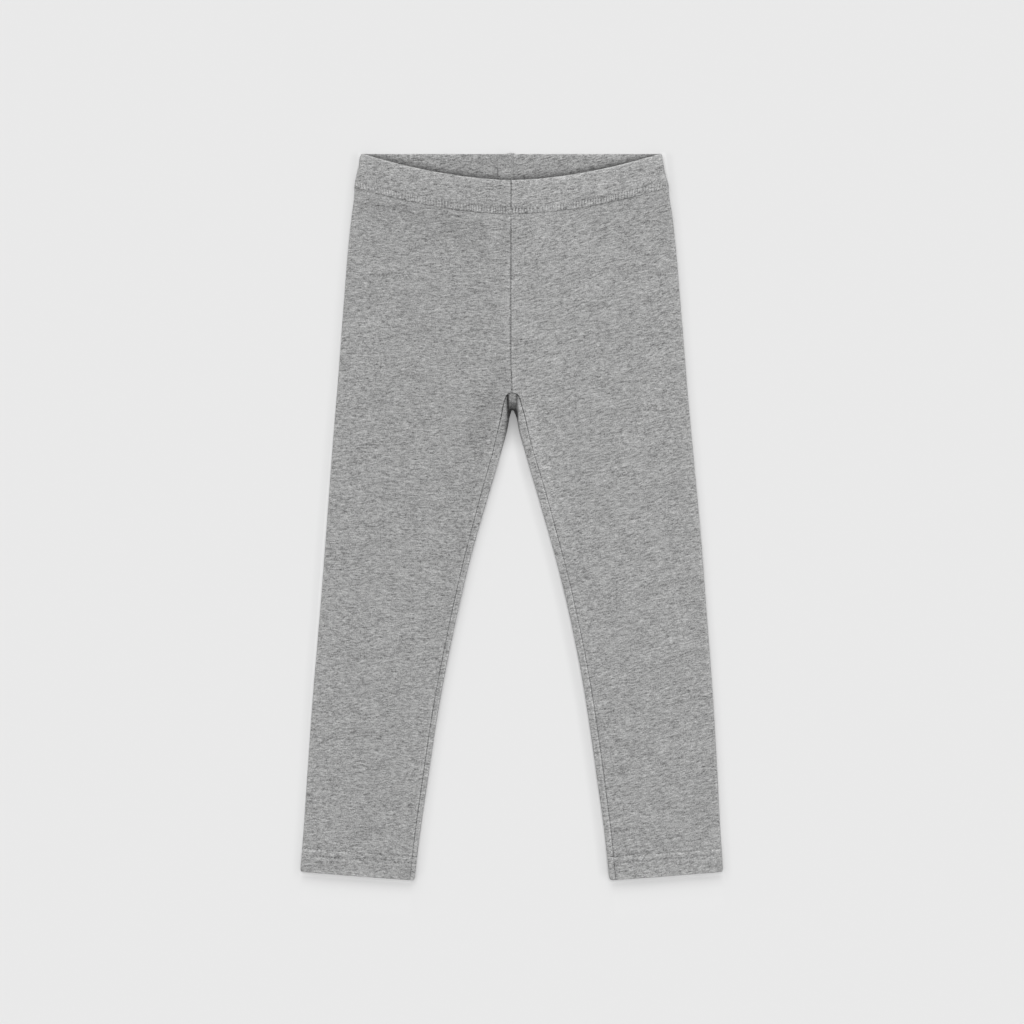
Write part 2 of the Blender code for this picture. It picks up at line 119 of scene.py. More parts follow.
# Rows of the panel round the crotch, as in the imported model.
CrotchRow = namedtuple(
    "CrotchRow",
    "front_out front_drop side_drop foot brow first then last end_out end_drop end_height",
)
CROTCH_ROWS = [CrotchRow(*row) for row in (
    (SEAM_OUT, 182.0, 177.0, 0.0, 0.0, -1.40, -0.40, 0.00, SEAM_OUT, 201.2, 0.0),
    (SEAM_OUT, 183.7, 180.0, 0.0, 0.0, -0.90, -0.20, 0.00, SEAM_OUT, 202.4, 0.0),
    (SEAM_OUT, 185.2, 182.8, 0.5, 0.0, -0.50, 0.00, 0.13, SEAM_OUT, 203.6, 0.1),
    (SEAM_OUT, 186.6, 185.5, 0.9, 0.0, -0.25, 0.20, 0.33, SEAM_OUT, 204.2, 0.6),
    (SEAM_OUT, 187.8, 188.2, 1.3, 0.0, -0.10, 0.40, 0.53, SEAM_OUT, 204.4, 1.4),
    (SEAM_OUT, 188.8, 190.9, 1.6, 0.0, 0.00, 0.60, 0.74, SEAM_OUT, 204.1, 2.1),
    (SEAM_OUT, 189.6, 193.6, 1.9, 0.0, 0.00, 0.80, 1.00, SEAM_OUT, 203.1, 2.7),
    (SEAM_OUT, 190.4, 196.3, 2.2, 1.2, 0.00, 1.00, 2.00, SEAM_OUT, 199.1, 2.7),
    (SEAM_OUT, 191.2, 199.0, 2.5, 2.0, 0.00, 1.00, 2.00, SEAM_OUT, 191.6, 2.7),
    (2.30, 191.7, 201.8, 3.0, 2.7, 0.00, 1.00, 2.00, 2.10, 192.1, 2.75),
    (4.00, 192.3, 204.8, 3.5, 3.3, 0.00, 1.00, 2.00, 3.70, 192.7, 2.8),
    (5.50, 194.6, 208.4, 4.2, 4.2, 0.00, 1.00, 2.00, 5.20, 194.9, 3.1),
    (7.25, 200.0, 213.4, 5.0, 5.0, 0.00, 1.00, 2.00, 6.95, 200.2, 3.3),
    (9.30, 208.2, 219.4, 6.0, 6.0, 0.00, 1.00, 2.00, 9.00, 208.4, 3.4),
)]

RIGHT, LEFT = -1, 1
SIDES = ((RIGHT, "right"), (LEFT, "left"))

# How much further out than in the imported model the edges and the inseam were laid.
OUTER_LAY = {
    # drop, outwards
    RIGHT: [
        (0, 0.4), (7, 0.6), (13, 1.0), (20, 0.9), (26, 0.4), (31, -0.3), (37, -0.5), (45, -0.2),
        (69, 0.1), (117, -0.3), (165, -0.45), (213, -0.6), (261, -1.1), (309, -1.6), (357, -1.6),
        (405, -1.25), (453, -0.8), (501, -0.45), (549, -0.4), (565, -0.2), (575, 0.1),
    ],
    LEFT: [
        (0, -0.2), (4, -1.2), (10, -0.4), (15, -0.5), (20, -0.4), (25, -0.2), (29, -0.8),
        (37, -0.8), (45, -0.3), (69, 0.1), (117, -0.2), (165, 0.0), (213, 0.0), (261, 0.3),
        (309, 0.6), (357, 0.55), (405, 0.45), (453, 0.35), (501, 0.1), (549, -0.6), (575, -0.5),
    ],
}
INNER_LAY = {
    # drop, outwards
    RIGHT: [
        (0, 0.0), (190, 0.0), (203.5, 0.0), (208, -0.9), (213, -1.1), (222, -1.3), (232, -1.4),
        (240, -1.3), (252, -0.8), (293, -0.2), (357, -0.4), (405, -0.1), (453, 0.1), (501, 0.1),
        (549, 0.7), (575, 0.6),
    ],
    LEFT: [
        (0, 0.0), (190, 0.0), (203.5, 0.0), (208, 0.4), (218, 0.5), (228, 0.25), (240, 0.4),
        (261, 1.2), (293, 1.4), (325, 1.4), (357, 1.6), (405, 1.9), (453, 1.3), (501, 0.95),
        (549, 1.05), (575, 0.5),
    ],
}
INSEAM_LAY = {
    # drop, outwards
    RIGHT: [
        (0, 0.0), (186, 0.0), (191, -0.5), (195, -0.8), (202, -0.8), (208, -0.1), (216, 0.0),
        (237, -0.3), (257, -0.6), (297, -1.0), (337, -1.1), (417, -1.2), (457, -1.1), (497, -0.9),
        (535, -0.8), (581, -0.7),
    ],
    LEFT: [
        (0, 0.0), (188, 0.0), (195, 0.3), (206, 0.25), (216, 0.0), (237, 0.0), (257, 0.1),
        (297, 0.2), (337, 0.35), (417, 0.35), (457, 0.6), (497, 0.7), (535, 0.8), (581, 0.8),
    ],
}

# Soft ridges, and troughs where the height is below 0: (out, drop, angle, length, width, height).
# The angle is from the outward direction towards the hems.
CREASES = {
    RIGHT: [
        (78, 48, -14, 62, 11, -0.45), (30, 82, -38, 46, 13, -0.40), (100, 110, 8, 40, 16, 0.35),
        (62, 150, -6, 60, 15, -0.30), (34, 205, -62, 52, 12, -0.40), (92, 216, 4, 52, 16, 0.30),
        (84, 300, -12, 60, 17, -0.30), (96, 392, 6, 54, 18, 0.35), (118, 468, -8, 46, 15, -0.35),
        (112, 524, 10, 42, 14, -0.30),
    ],
    LEFT: [
        (92, 46, 12, 56, 11, -0.40), (40, 66, 20, 46, 14, 0.40), (34, 128, 48, 52, 13, 0.35),
        (88, 168, 5, 60, 17, -0.30), (42, 190, 58, 50, 12, 0.40), (96, 262, -7, 58, 16, 0.30),
        (88, 348, 9, 56, 17, -0.30), (112, 436, -5, 50, 16, 0.35), (126, 500, 12, 44, 14, -0.35),
        (108, 540, -9, 40, 13, -0.30),
    ],
}

# Painted light and painted shade of gentle folds, as in CREASES, with a share of the cloth's
# brightness for height.
SHADES = {
    RIGHT: [
        (80, 48, -13, 76, 9, -0.105), (42, 67, -38, 52, 11, -0.075), (17, 90, -60, 28, 10, -0.050),
        (26, 213, 63, 80, 18, -0.175), (36, 268, 68, 66, 12, -0.050),
        (45, 325, 75, 112, 18, -0.045), (11, 60, 88, 60, 16, 0.120), (122, 467, 5, 24, 12, -0.120),
        (116, 527, 80, 44, 22, -0.080), (118, 139, -20, 24, 14, 0.120),
        (107, 196, 4, 14, 8, -0.100), (110, 248, -8, 22, 8, -0.045), (98, 346, 10, 28, 12, 0.035),
        (16, 40, 85, 26, 20, 0.070),
    ],
    LEFT: [
        (30, 62, 24, 66, 36, 0.110), (30, 165, 0, 15, 10, 0.055), (24, 249, 74, 96, 12, 0.165),
        (4, 110, 90, 150, 5, 0.035), (119, 356, -15, 22, 11, 0.045), (124, 322, 12, 20, 9, 0.030),
        (142, 473, 8, 17, 14, 0.055), (133, 266, 80, 20, 10, -0.110),
        (152, 525, 85, 44, 16, -0.090), (104, 548, -6, 46, 30, -0.050),
        (113, 38, 10, 30, 9, -0.050), (77, 172, -4, 26, 9, 0.035), (60, 46, 12, 40, 8, -0.035),
    ],
}

HIDDEN_SHADE_SHIFT = 34 * MM  # of these places towards the hems on the hidden side

# Cells of the fine grids
NEAR_SEAM = (0, 0.10, 0.22, 0.36, 0.52, 0.72, 1.0, 1.4, 2.0, 2.8, 3.8)  # mm from an edge
FRONT_CELLS, FOLD_CELLS, BACK_CELLS, TURN_CELLS = 76, 12, 20, 10
STRIP_PLACES = (0.16, 0.32, 0.48, 0.62, 0.74, 0.84, 0.91, 0.96, 1.0)
ROW_STEP = 1.9 * MM
CROTCH_ROW_STEP = 0.5 * MM
CONTROL_ROWS_ABOVE, CONTROL_ROWS_BELOW = 10, 18  # rows of the coarse grid from which they are made

CENTRE_SHIFT = 0.72 * MM  # of the centre seams towards the wearer's right
ARCH_DROP, ARCH_OUT = INNER_EDGE[0][0] * MM, INNER_EDGE[0][1] * MM  # where the inner edge begins


def curve(places, values, slopes, at):
    """Values at places between the given ones, on a curve that has the given slopes."""
    i = np.clip(np.searchsorted(places, at) - 1, 0, len(places) - 2)
    shape = np.shape(at) + (1,) * (values.ndim - 1)
    span = (places[i + 1] - places[i]).reshape(shape)
    t = np.clip((at - places[i]).reshape(shape) / span, 0, 1)
    rise = values[i + 1] - values[i]
    start, finish = slopes[i] * span - rise, rise - slopes[i + 1] * span
    return values[i] + t * rise + t * (1 - t) * ((1 - t) * start + t * finish)


def along(table, at):
    """Values of a (place, value) table at places in metres, on a smooth curve."""
    places, values = np.array(table, float).T * MM
    slopes = np.gradient(values, places)
    before = np.minimum(at - places[0], 0) * slopes[0]
    return curve(places, values, slopes, at) + before + np.maximum(at - places[-1], 0) * slopes[-1]


def ease(t):
    t = np.clip(t, 0, 1)
    return t * t * (3 - 2 * t)


def past(value, start, width):
    """0 up to start and 1 from a width beyond it, both in millimetres."""
    return ease((value / MM - start) / width)


def near(distance, width):
    """1 at a line, falling softly to 0 over a width in millimetres."""
    return np.exp(-((distance / (width * MM)) ** 2))


def fading(distance, reach):
    """1 at a line, dying away beyond it over a reach in millimetres."""
    return np.exp(-distance / (reach * MM))


def mix(a, b, t):
    return a + (b - a) * t


def stacked(*parts):
    """(n, k) array from k numbers or arrays of n."""
    return np.stack(np.broadcast_arrays(*[np.asarray(p, float) for p in parts]), axis=-1)


def outer_edge(drop):
    return along(OUTER_EDGE, drop)


def inner_edge(drop):
    return along(INNER_EDGE, drop)


def inner_bound(drop):
    """The inner edge of a leg, or the centre line above the crotch."""
    return np.where(drop < ARCH_DROP, 0.0, inner_edge(drop))


def inseam(drop):
    return inner_edge(drop) + along(INSEAM_INSET, drop)


def front_dip(out, side_out):
    return BAND_DIP * (1 - np.minimum(1.0, np.abs(out) / side_out) ** BAND_DIP_POWER)


def near_hem(drop):
    """0 on the leg, rising to 1 at the seam of the hem."""
    return ease((drop - (LENGTH - HEM_SLANT - HEM_DEPTH - HEM_FADE)) / HEM_FADE)


def edge_height(drop):
    near_band = 1 - ease((drop - BAND_DEPTH) / BAND_FADE)
    at_band = BAND_SIDE_HEIGHT - BELOW_BAND_STEP - EDGE_HEIGHT
    at_hem = HEM_HEIGHT - ABOVE_HEM_STEP - EDGE_HEIGHT
    return EDGE_HEIGHT + near_band * at_band + near_hem(drop) * at_hem


def to_inner_edge(out, drop):
    """Distance of a place on the front from the inner edge or the arch of the crotch."""
    above = np.hypot(np.maximum(0, out - ARCH_OUT), ARCH_DROP - drop)
    return np.where(drop < ARCH_DROP, above, out - inner_edge(drop))


def crease_height(side, out, drop, creases=CREASES):
    total = np.zeros_like(out)
    for crease_out, crease_drop, angle, length, width, height in creases[side]:
        turn = math.radians(angle)
        across, down = out - crease_out * MM, drop - crease_drop * MM
        lengthwise = (across * math.cos(turn) + down * math.sin(turn)) / (length * MM / 2)
        sideways = (down * math.cos(turn) - across * math.sin(turn)) / (width * MM / 2)
        total += height * MM * np.exp(-(lengthwise**2) - sideways**2)
    return total


def broad_dome(out, drop):
    """How much higher the middle of a leg lies than its sides."""
    inner, side_out = inner_bound(drop), outer_edge(drop)
    from_middle = (2 * out - inner - side_out) / (side_out - inner)
    return BROAD_DOME * (1 - from_middle**2)


def hem_dome(out, drop):
    """How much higher a hem lies than at its sides."""
    from_edge = np.minimum(outer_edge(drop) - out, out - inner_edge(drop)) - HEM_HEIGHT / 2
    return 0.5 * ease(from_edge / EDGE_FADE) * (DOME + broad_dome(out, drop))


def front_height(side, out, drop):
    """Height of the outer face of a leg's front, before what sewing does to it."""
    side_out = outer_edge(drop)
    dip = front_dip(out, side_out)
    near_band = 1 - ease((drop - BAND_DEPTH - dip) / BAND_FADE)
    gape = (BAND_FRONT_HEIGHT - BAND_SIDE_HEIGHT) * near_band * (1 - (out / side_out) ** 2)
    level = edge_height(drop - dip * near_band)
    inside = ease((side_out - edge_height(drop) / 2 - out) / EDGE_FADE)
    inside = inside * ease(to_inner_edge(out, drop) / EDGE_FADE + 0.12)
    fade = ease((CROTCH_FOLD[0].drop * MM - drop) / SEAM_VALLEY_FADE)
    valley = SEAM_VALLEY * fade * np.exp(-((out / SEAM_VALLEY_WIDTH) ** 2))
    relief = crease_height(side, out, drop) + DOME - valley + broad_dome(out, drop)
    leg = inside * relief * (1 - near_band)
    return level + gape + mix(leg, hem_dome(out, drop), near_hem(drop))


def noise(x, y, seed):
    """Smooth noise from -1 to 1 with a cell of 1."""
    column, row = np.floor(x).astype(np.int64), np.floor(y).astype(np.int64)
    u, v = x - column, y - row
    u, v = u * u * (3 - 2 * u), v * v * (3 - 2 * v)

    def corner(i, j):
        mixed = (column + i) * 374761393 + (row + j) * 668265263 + seed * 974634777
        mixed = (mixed ^ (mixed >> 13)) * 1274126177
        return ((mixed ^ (mixed >> 16)) & 0xFFFF) / 32767.5 - 1

    upper = corner(0, 0) * (1 - u) + corner(1, 0) * u
    return upper * (1 - v) + (corner(0, 1) * (1 - u) + corner(1, 1) * u) * v


def lumps(x, y, wide, high, seed):
    """Noise with lumps of a size in millimetres."""
    return noise(x / MM / wide, y / MM / high, seed)


def fold_spots(fold, turned):
    """Spots on a rolled edge, (n, 8).  turned is 0 at its foot, on the ground, and 1 at its brow.
    The last two numbers are how much further the outer face of the foot lies."""
    radius, facing, angle = fold.height * MM / 2, np.radians(fold.facing), math.pi * turned
    way_out, way_drop = -np.cos(facing), np.sin(facing)
    reach = radius * (np.sin(angle) - 1)
    low = np.where(np.asarray(turned) < 0.5, 1 - np.sin(angle), 0.0)
    return stacked(
        fold.out * MM + way_out * reach, fold.drop * MM + way_drop * reach,
        radius * (1 - np.cos(angle)),
        -way_out * np.sin(angle), -way_drop * np.sin(angle), np.cos(angle),
        low * (way_out * radius + fold.foot_out * MM),
        low * (way_drop * radius + fold.foot_drop * MM),
    )


def crotch_fold(place):
    i = min(int(place), len(CROTCH_FOLD) - 2)
    return Fold(*mix(np.array(CROTCH_FOLD[i]), np.array(CROTCH_FOLD[i + 1]), place - i))


def flat_end(drop):
    height = CROTCH_FOLD[0].height
    return Fold(SEAM_OUT - height / 2, drop, 0.0, height)


# One row of a panel.  front is (out, drop) of its front edge, stops is (first, then, last) as in
# CrotchRow and end is (out, drop, height).
PanelRow = namedtuple("PanelRow", "front side_drop foot brow stops end dip_power")


def side_fold(side_out, radius, drop_at, cells=FOLD_CELLS):
    angle = math.pi * np.arange(1, cells) / cells
    out = side_out - radius + radius * np.sin(angle)
    height = radius * (1 + np.cos(angle))
    drop = drop_at(out, height > radius)
    return stacked(out, drop, height, -np.sin(angle), 0.0, -np.cos(angle))


def inner_roll(row, start):
    """The last spots of a row: in along the ground, up round the inner fold and out on top."""
    first, then, last = row.stops
    strip = then + (last - then) * np.array(STRIP_PLACES)
    stops = np.concatenate([np.linspace(first, then, TURN_CELLS + 1), strip])
    foot = fold_spots(row.foot, 0.0)
    brow = fold_spots(row.brow, 1.0)
    half_turn = math.pi * row.foot.height * MM / 2
    back = (-stops * half_turn / math.dist(start[:2], foot[:2]))[:, None]
    flat = np.concatenate([mix(foot[:2], start[:2], back), np.zeros((len(stops), 6))], axis=1)
    flat[:, 5] = 1.0
    share = stops / min(1.0, last) if last > 0 else stops * 0
    rolled_fold = Fold(*[mix(a, b, np.clip(share, 0, 1)) for a, b in zip(row.foot, row.brow)])
    rolled = fold_spots(rolled_fold, np.clip(stops, 0, 1))
    if last > 1:
        end = np.array([*row.end, 0, 0, -1.0, 0, 0])
        brow_down = np.array([*brow[:3], 0, 0, -1.0, 0, 0])
        on_top = mix(brow_down, end, np.clip((stops - 1) / (last - 1), 0, 1)[:, None])
    else:
        on_top = rolled
    chosen = np.where(stops[:, None] < 0, flat, rolled)
    return np.where(stops[:, None] > 1, on_top, chosen)


def front_outs(start, end, cells):
    """Distances from the centre line to the spots of a front, closer together at the seam."""
    beside = start + np.array(NEAR_SEAM) * MM
    return np.concatenate([beside, np.linspace(beside[-1], end, cells + 1)[1:]])


def panel_row(row):
    """One row of a leg panel, from its front edge round to its back edge, (n, 8)."""
    side_out = outer_edge(row.side_drop)
    radius = edge_height(row.side_drop) / 2
    front_out, front_drop = row.front

    def drop_at(out, on_front):
        share = np.maximum(0.0, out - front_out) / (side_out - front_out)
        return row.side_drop + on_front * (front_drop - row.side_drop) * (1 - share**row.dip_power)

    out = front_outs(front_out, side_out - radius, FRONT_CELLS)
    front = stacked(out, drop_at(out, 1.0), 2 * radius, 0.0, 0.0, -1.0)
    start = np.array([side_out - radius, row.side_drop, 0.0])
    roll = inner_roll(row, start)
    t = np.arange(BACK_CELLS)[:, None] / BACK_CELLS
    across = mix(start[:2], roll[0, :2], t)
    back = stacked(across[:, 0], across[:, 1], 0.0, 0.0, 0.0, 1.0)
    outer_part = np.concatenate([front, side_fold(side_out, radius, drop_at), back])
    return np.concatenate([np.pad(outer_part, ((0, 0), (0, 2))), roll])


def rows_above_crotch():
    below = CROTCH_ROWS[0]
    top, dip = (BAND_DEPTH + SEAM) / MM, BAND_DIP / MM
    for k in range(CONTROL_ROWS_ABOVE):
        t = k / CONTROL_ROWS_ABOVE
        foot = flat_end(mix(top, below.end_drop, t))
        yield PanelRow(
            (SEAM / 2, mix(top + dip, below.front_drop, t) * MM), mix(top, below.side_drop, t) * MM,
            foot, foot, (below.first, below.then, below.last), None, BAND_DIP_POWER,
        )


def rows_at_crotch():
    for k, row in enumerate(CROTCH_ROWS):
        foot = crotch_fold(row.foot) if row.last else flat_end(row.end_drop)
        yield PanelRow(
            (row.front_out * MM, row.front_drop * MM), row.side_drop * MM,
            foot, crotch_fold(row.brow), (row.first, row.then, row.last),
            (row.end_out * MM, row.end_drop * MM, row.end_height * MM),
            mix(BAND_DIP_POWER, 1.0, k / (len(CROTCH_ROWS) - 1)),
        )


def hem_line(lift):
    """Drops of the outer and inner ends of a line that runs lift above the hem's edge."""
    return LENGTH - HEM_SLANT - lift, LENGTH - lift


def tube_row(side, side_drop, inner_drop, end_drop):
    seam_out = inseam(end_drop)
    slope = (inner_edge(inner_drop + MM) - inner_edge(inner_drop - MM)) / (2 * MM)
    fold = Fold(
        inner_edge(inner_drop) / MM, inner_drop / MM, np.degrees(np.arctan(slope)),
        edge_height(side_drop) / MM, -along(FOOT_REACH, inner_drop) / MM,
    )
    return PanelRow(
        (seam_out + SEAM / 2, end_drop), side_drop, fold, fold, (0.0, 1.0, 2.0),
        (seam_out - SEAM / 2, end_drop, front_height(side, seam_out, end_drop)), 1.0,
    )


def rows_below_crotch(side):
    above = CROTCH_ROWS[-1]
    hem_side, hem_inner = hem_line(HEM_DEPTH + SEAM / 3)
    inset_share = along(INSEAM_INSET, hem_inner) / (outer_edge(hem_side) - inner_edge(hem_inner))
    hem_end = hem_inner - HEM_SLANT * inset_share
    for k in range(1, CONTROL_ROWS_BELOW + 1):
        t = k / CONTROL_ROWS_BELOW
        yield tube_row(
            side,
            mix(above.side_drop * MM, hem_side, t),
            mix(CROTCH_FOLD[-1].drop * MM, hem_inner, t),
            mix(above.end_drop * MM, hem_end, t),
        )


def resampled(grid, places, at):
    """Rows of a grid at other places, on smooth curves that don't overshoot."""
    secants = np.diff(grid, axis=0) / np.diff(places)[:, None, None]
    before, after = np.concatenate([secants[:1], secants]), np.concatenate([secants, secants[-1:]])
    limit = 3 * np.minimum(abs(before), abs(after)) * (before * after > 0)
    return curve(places, grid, np.clip(np.gradient(grid, places, axis=0), -limit, limit), at)


def row_places(top, crotch_from, crotch_to, bottom):
    """Side drops of the fine rows, closer at both ends and round the crotch."""
    beside = np.array(NEAR_SEAM) * MM
    upper, lower = top + beside, bottom - beside[::-1]

    def run(start, end, step):
        return np.linspace(start, end, max(2, round((end - start) / step)) + 1)[1:]

    return np.concatenate([
        upper, run(upper[-1], crotch_from, ROW_STEP), run(crotch_from, crotch_to, CROTCH_ROW_STEP),
        run(crotch_to, lower[0], ROW_STEP), lower[1:],
    ])


def distances(grid):
    """How far each spot of a grid lies from the first and last column and row, along the cloth."""
    across = np.linalg.norm(np.diff(grid[..., :3], axis=1), axis=2)
    down = np.linalg.norm(np.diff(grid[..., :3], axis=0), axis=2)
    from_first = np.concatenate([np.zeros((len(grid), 1)), np.cumsum(across, axis=1)], axis=1)
    from_top = np.concatenate([np.zeros((1, grid.shape[1])), np.cumsum(down, axis=0)])
    return from_first, from_first[:, -1:] - from_first, from_top, from_top[-1:] - from_top


def shoulder(distance, radius):
    """Depth to which cloth has turned down into a seam, at a distance from the seam."""
    short = np.clip(radius - distance, 0, radius)
    return radius - np.sqrt(radius**2 - short**2)


def placed(side, grid, depth):
    """World coordinates of points that lie depth below a grid's spots, (rows, columns, 3)."""
    points = grid[..., :3] + grid[..., 3:6] * np.asarray(depth)[..., None]
    out, drop = points[..., 0], points[..., 1]
    inner = inner_bound(drop)
    share = np.clip((out - inner) / (outer_edge(drop) - inner), 0, 1)
    lay = mix(along(INNER_LAY[side], drop), along(OUTER_LAY[side], drop), share)
    inset = along(INSEAM_INSET, np.maximum(drop, INSEAM_INSET[0][0] * MM))
    steps = np.clip((out - inner) / inset, 0, None)
    at_inseam = np.where(steps < 1, steps * (2 - steps), 1 - ease((steps - 1) / 4))
    x = side * (out + lay + at_inseam * along(INSEAM_LAY[side], drop))
    shift = CENTRE_SHIFT * near(x, 10) * (1 - past(drop, 165, 24))
    return np.stack([x - shift, LENGTH / 2 - drop, points[..., 2]], axis=-1)


# What a piece's material reads at each point: a factor for its colour, which carries painted light
# and painted shade as well as tone, how dark a seam is there, partly the seam's own thread and
# pressed cloth and partly painted shade in its groove, how much the seam pulls the cloth and the
# distance along the seam in stitches.
PAINTS = ("cloth_shade", "seam_dark", "seam_pull", "seam_run")


def paint(shape, shade=1.0, dark=0.0, pull=0.0, run=0.0):
    return np.stack([np.broadcast_to(part, shape) for part in (shade, dark, pull, run)], axis=-1)


def new_object(name, data):
    """An object in the scene."""
    obj = bpy.data.objects.new(name, data)
    bpy.context.scene.collection.objects.link(obj)
    return obj


def mesh_object(name, points, faces, finish, painted=None):
    mesh = bpy.data.meshes.new(name)
    mesh.from_pydata(points.tolist(), [], faces)
    if painted is not None:
        for k, paint_name in enumerate(PAINTS):
            values = painted[..., k].ravel()
            mesh.attributes.new(paint_name, "FLOAT", "POINT").data.foreach_set("value", values)
    mesh.materials.append(finish)
    mesh.shade_smooth()
    mesh.update()
    return new_object(name, mesh)


def grid_quads(rows, columns, around=False):
    """Faces of a grid of points.  around joins its last row to its first."""
    r = np.arange(rows if around else rows - 1)[:, None]
    c = np.arange(columns - 1)[None, :]
    here, below = r * columns + c, (r + 1) % rows * columns + c
    return np.stack([here, here + 1, below + 1, below], axis=-1).reshape(-1, 4)


def facing_out(side, quads):
    return quads if side == RIGHT else quads[:, ::-1]


def cloth_shell(name, side, outer, inner, painted, finish):
    """Closed cloth between two grids of points."""
    rows, columns = outer.shape[:2]
    count = rows * columns
    quads = grid_quads(rows, columns)
    rim = np.concatenate([
        np.arange(columns),
        np.arange(1, rows) * columns + columns - 1,
        (rows - 1) * columns + np.arange(columns - 2, -1, -1),
        np.arange(rows - 2, 0, -1) * columns,
    ])
    after = np.roll(rim, -1)
    edges = np.stack([after, rim, count + rim, count + after], axis=-1)
    quads = np.concatenate([quads, quads[:, ::-1] + count, edges])
    points = np.concatenate([outer.reshape(-1, 3), inner.reshape(-1, 3)])
    both = np.concatenate([painted.reshape(count, -1), paint((count,))])
    return mesh_object(name, points, facing_out(side, quads).tolist(), finish, both)


def leg_grid(side):
    rows = [*rows_above_crotch(), *rows_at_crotch(), *rows_below_crotch(side)]
    control = np.array([panel_row(row) for row in rows])
    places = np.array([row.side_drop for row in rows])
    crotch_from, crotch_to = (CROTCH_ROWS[k].side_drop * MM for k in (0, -1))
    grid = resampled(control, places, row_places(places[0], crotch_from, crotch_to, places[-1]))
    grid[..., 3:6] /= np.linalg.norm(grid[..., 3:6], axis=2, keepdims=True)
    front = grid[:, : len(NEAR_SEAM) + FRONT_CELLS - 1]
    front[..., 2] = front_height(side, front[..., 0], front[..., 1])
    return grid


STITCH = 2.6 * MM  # of the overlock seams


def side_painted_light(side, drop):
    """Painted light: the wearer's left side is a little paler, most of all at the waist."""
    return 1.0 if side == RIGHT else 1.046 - 0.030 * np.clip(drop / LENGTH, 0, 1)


def edge_painted_light(side, grid):
    """How much paler the rolled edges are: painted light."""
    out, drop = grid[..., 0], grid[..., 1]
    outer, inner = (0.20, 0.05) if side == LEFT else (0.06, 0.24)
    pale = outer * near(outer_edge(drop) - out, 1.6)
    pale = pale + inner * past(drop, 226, 20) * near(out - inner_edge(drop) - MM, 1.5)
    return pale * ease(0.6 - grid[..., 5])


def fold_painted_light_and_shade(side, grid, on_top):
    """Factor of painted light and painted shade for the gentle folds of SHADES, with the like of
    them lower down on the hidden side.
    """
    drop = grid[..., 1] - HIDDEN_SHADE_SHIFT * (1 - on_top)
    return 1 + crease_height(side, grid[..., 0], drop, SHADES) / MM


def pucker_height(side, grid, on_top):
    """Small waves that the waistband's sewing draws into the cloth."""
    out, drop = grid[..., 0], grid[..., 1]
    below_band = drop - BAND_DEPTH - front_dip(out, outer_edge(drop)) * on_top
    x = side * out / MM
    gathered = noise(x / 5.2, 3.5, 11) * 0.6 + noise(x / 2.9, 1.5, 12) * 0.4
    return 0.34 * MM * gathered * fading(np.clip(below_band, 0, None), 7)


def crinkle_height(side, grid):
    """Fine uneven relief of jersey that has been washed and laid out."""
    x, y = side * grid[..., 0] / MM, grid[..., 1] / MM
    bent = y + 2.6 * noise(x / 19, y / 17, 21)
    fine = noise(x / 9.0, bent / 3.8, 22) * 0.6 + noise(x / 15.0, bent / 6.5, 23)
    broad = noise(x / 34, y / 16, 24) + 0.7 * noise(x / 17, bent / 12, 25)
    return MM * (0.11 * fine + 0.20 * broad)


HOLLOW_TOP = 192.2  # drop in millimetres
# Painted shade of the middle of the hollow at distances below its top.
HOLLOW_PAINTED_SHADE = (0, 1.8, 5, 8.2, 10.6, 14.5), (0.02, 0.05, 0.30, 0.61, 0.74, 0.90)


def crotch_hollow(side, grid, on_top, rolled):
    """Depth and painted shade of the hollow below the crotch, where the back shows between two
    creases.
    """
    out, drop = grid[..., 0], grid[..., 1]
    below = drop / MM - HOLLOW_TOP
    within = rolled * on_top * ease(below / 1.2) * (1 - ease((below - 19) / 8))
    start, crease_painted_shade, wide = (4.1, 0.97, 1.02) if side == RIGHT else (3.75, 0.70, 0.68)
    crease_out = MM * (start - 0.55 * np.clip(below / 14.5, 0, 1) ** 0.8)
    middle = 1 - ease((out - crease_out) / (0.5 * MM))
    crease = near(out - crease_out, wide + 0.05 * np.clip(below, 0, 14))
    crease = crease * (1 - ease((below - 15) / 6))
    depth = within * MM * (0.7 * middle + 0.8 * crease)
    middle_painted_shade = np.interp(below, *HOLLOW_PAINTED_SHADE)
    shade = 1 - within * np.maximum(crease_painted_shade * crease, middle * middle_painted_shade)
    # painted shade on the inner folds near the apex, and soft painted shade along the wearer's
    # right inner edge
    facing_in = rolled * ease((0.8 + grid[..., 5]) / 0.5)
    edge_painted_shade = (0.72 if side == RIGHT else 0.3) * (1 - past(drop, 214, 22))
    apex_painted_shade = 0.90 * (1 - past(drop, 209, 9))
    dark = facing_in * np.maximum(edge_painted_shade, apex_painted_shade) * past(drop, 201, 3)
    from_edge = to_inner_edge(out, drop)
    soft = 0.36 * near(from_edge, 2.8) + 0.40 * near(from_edge, 1.2)
    soft = soft * (side == RIGHT) * on_top * (1 - past(drop, 215, 19)) * past(drop, 206, 5)
    return depth, shade * (1 - dark) * (1 - soft)


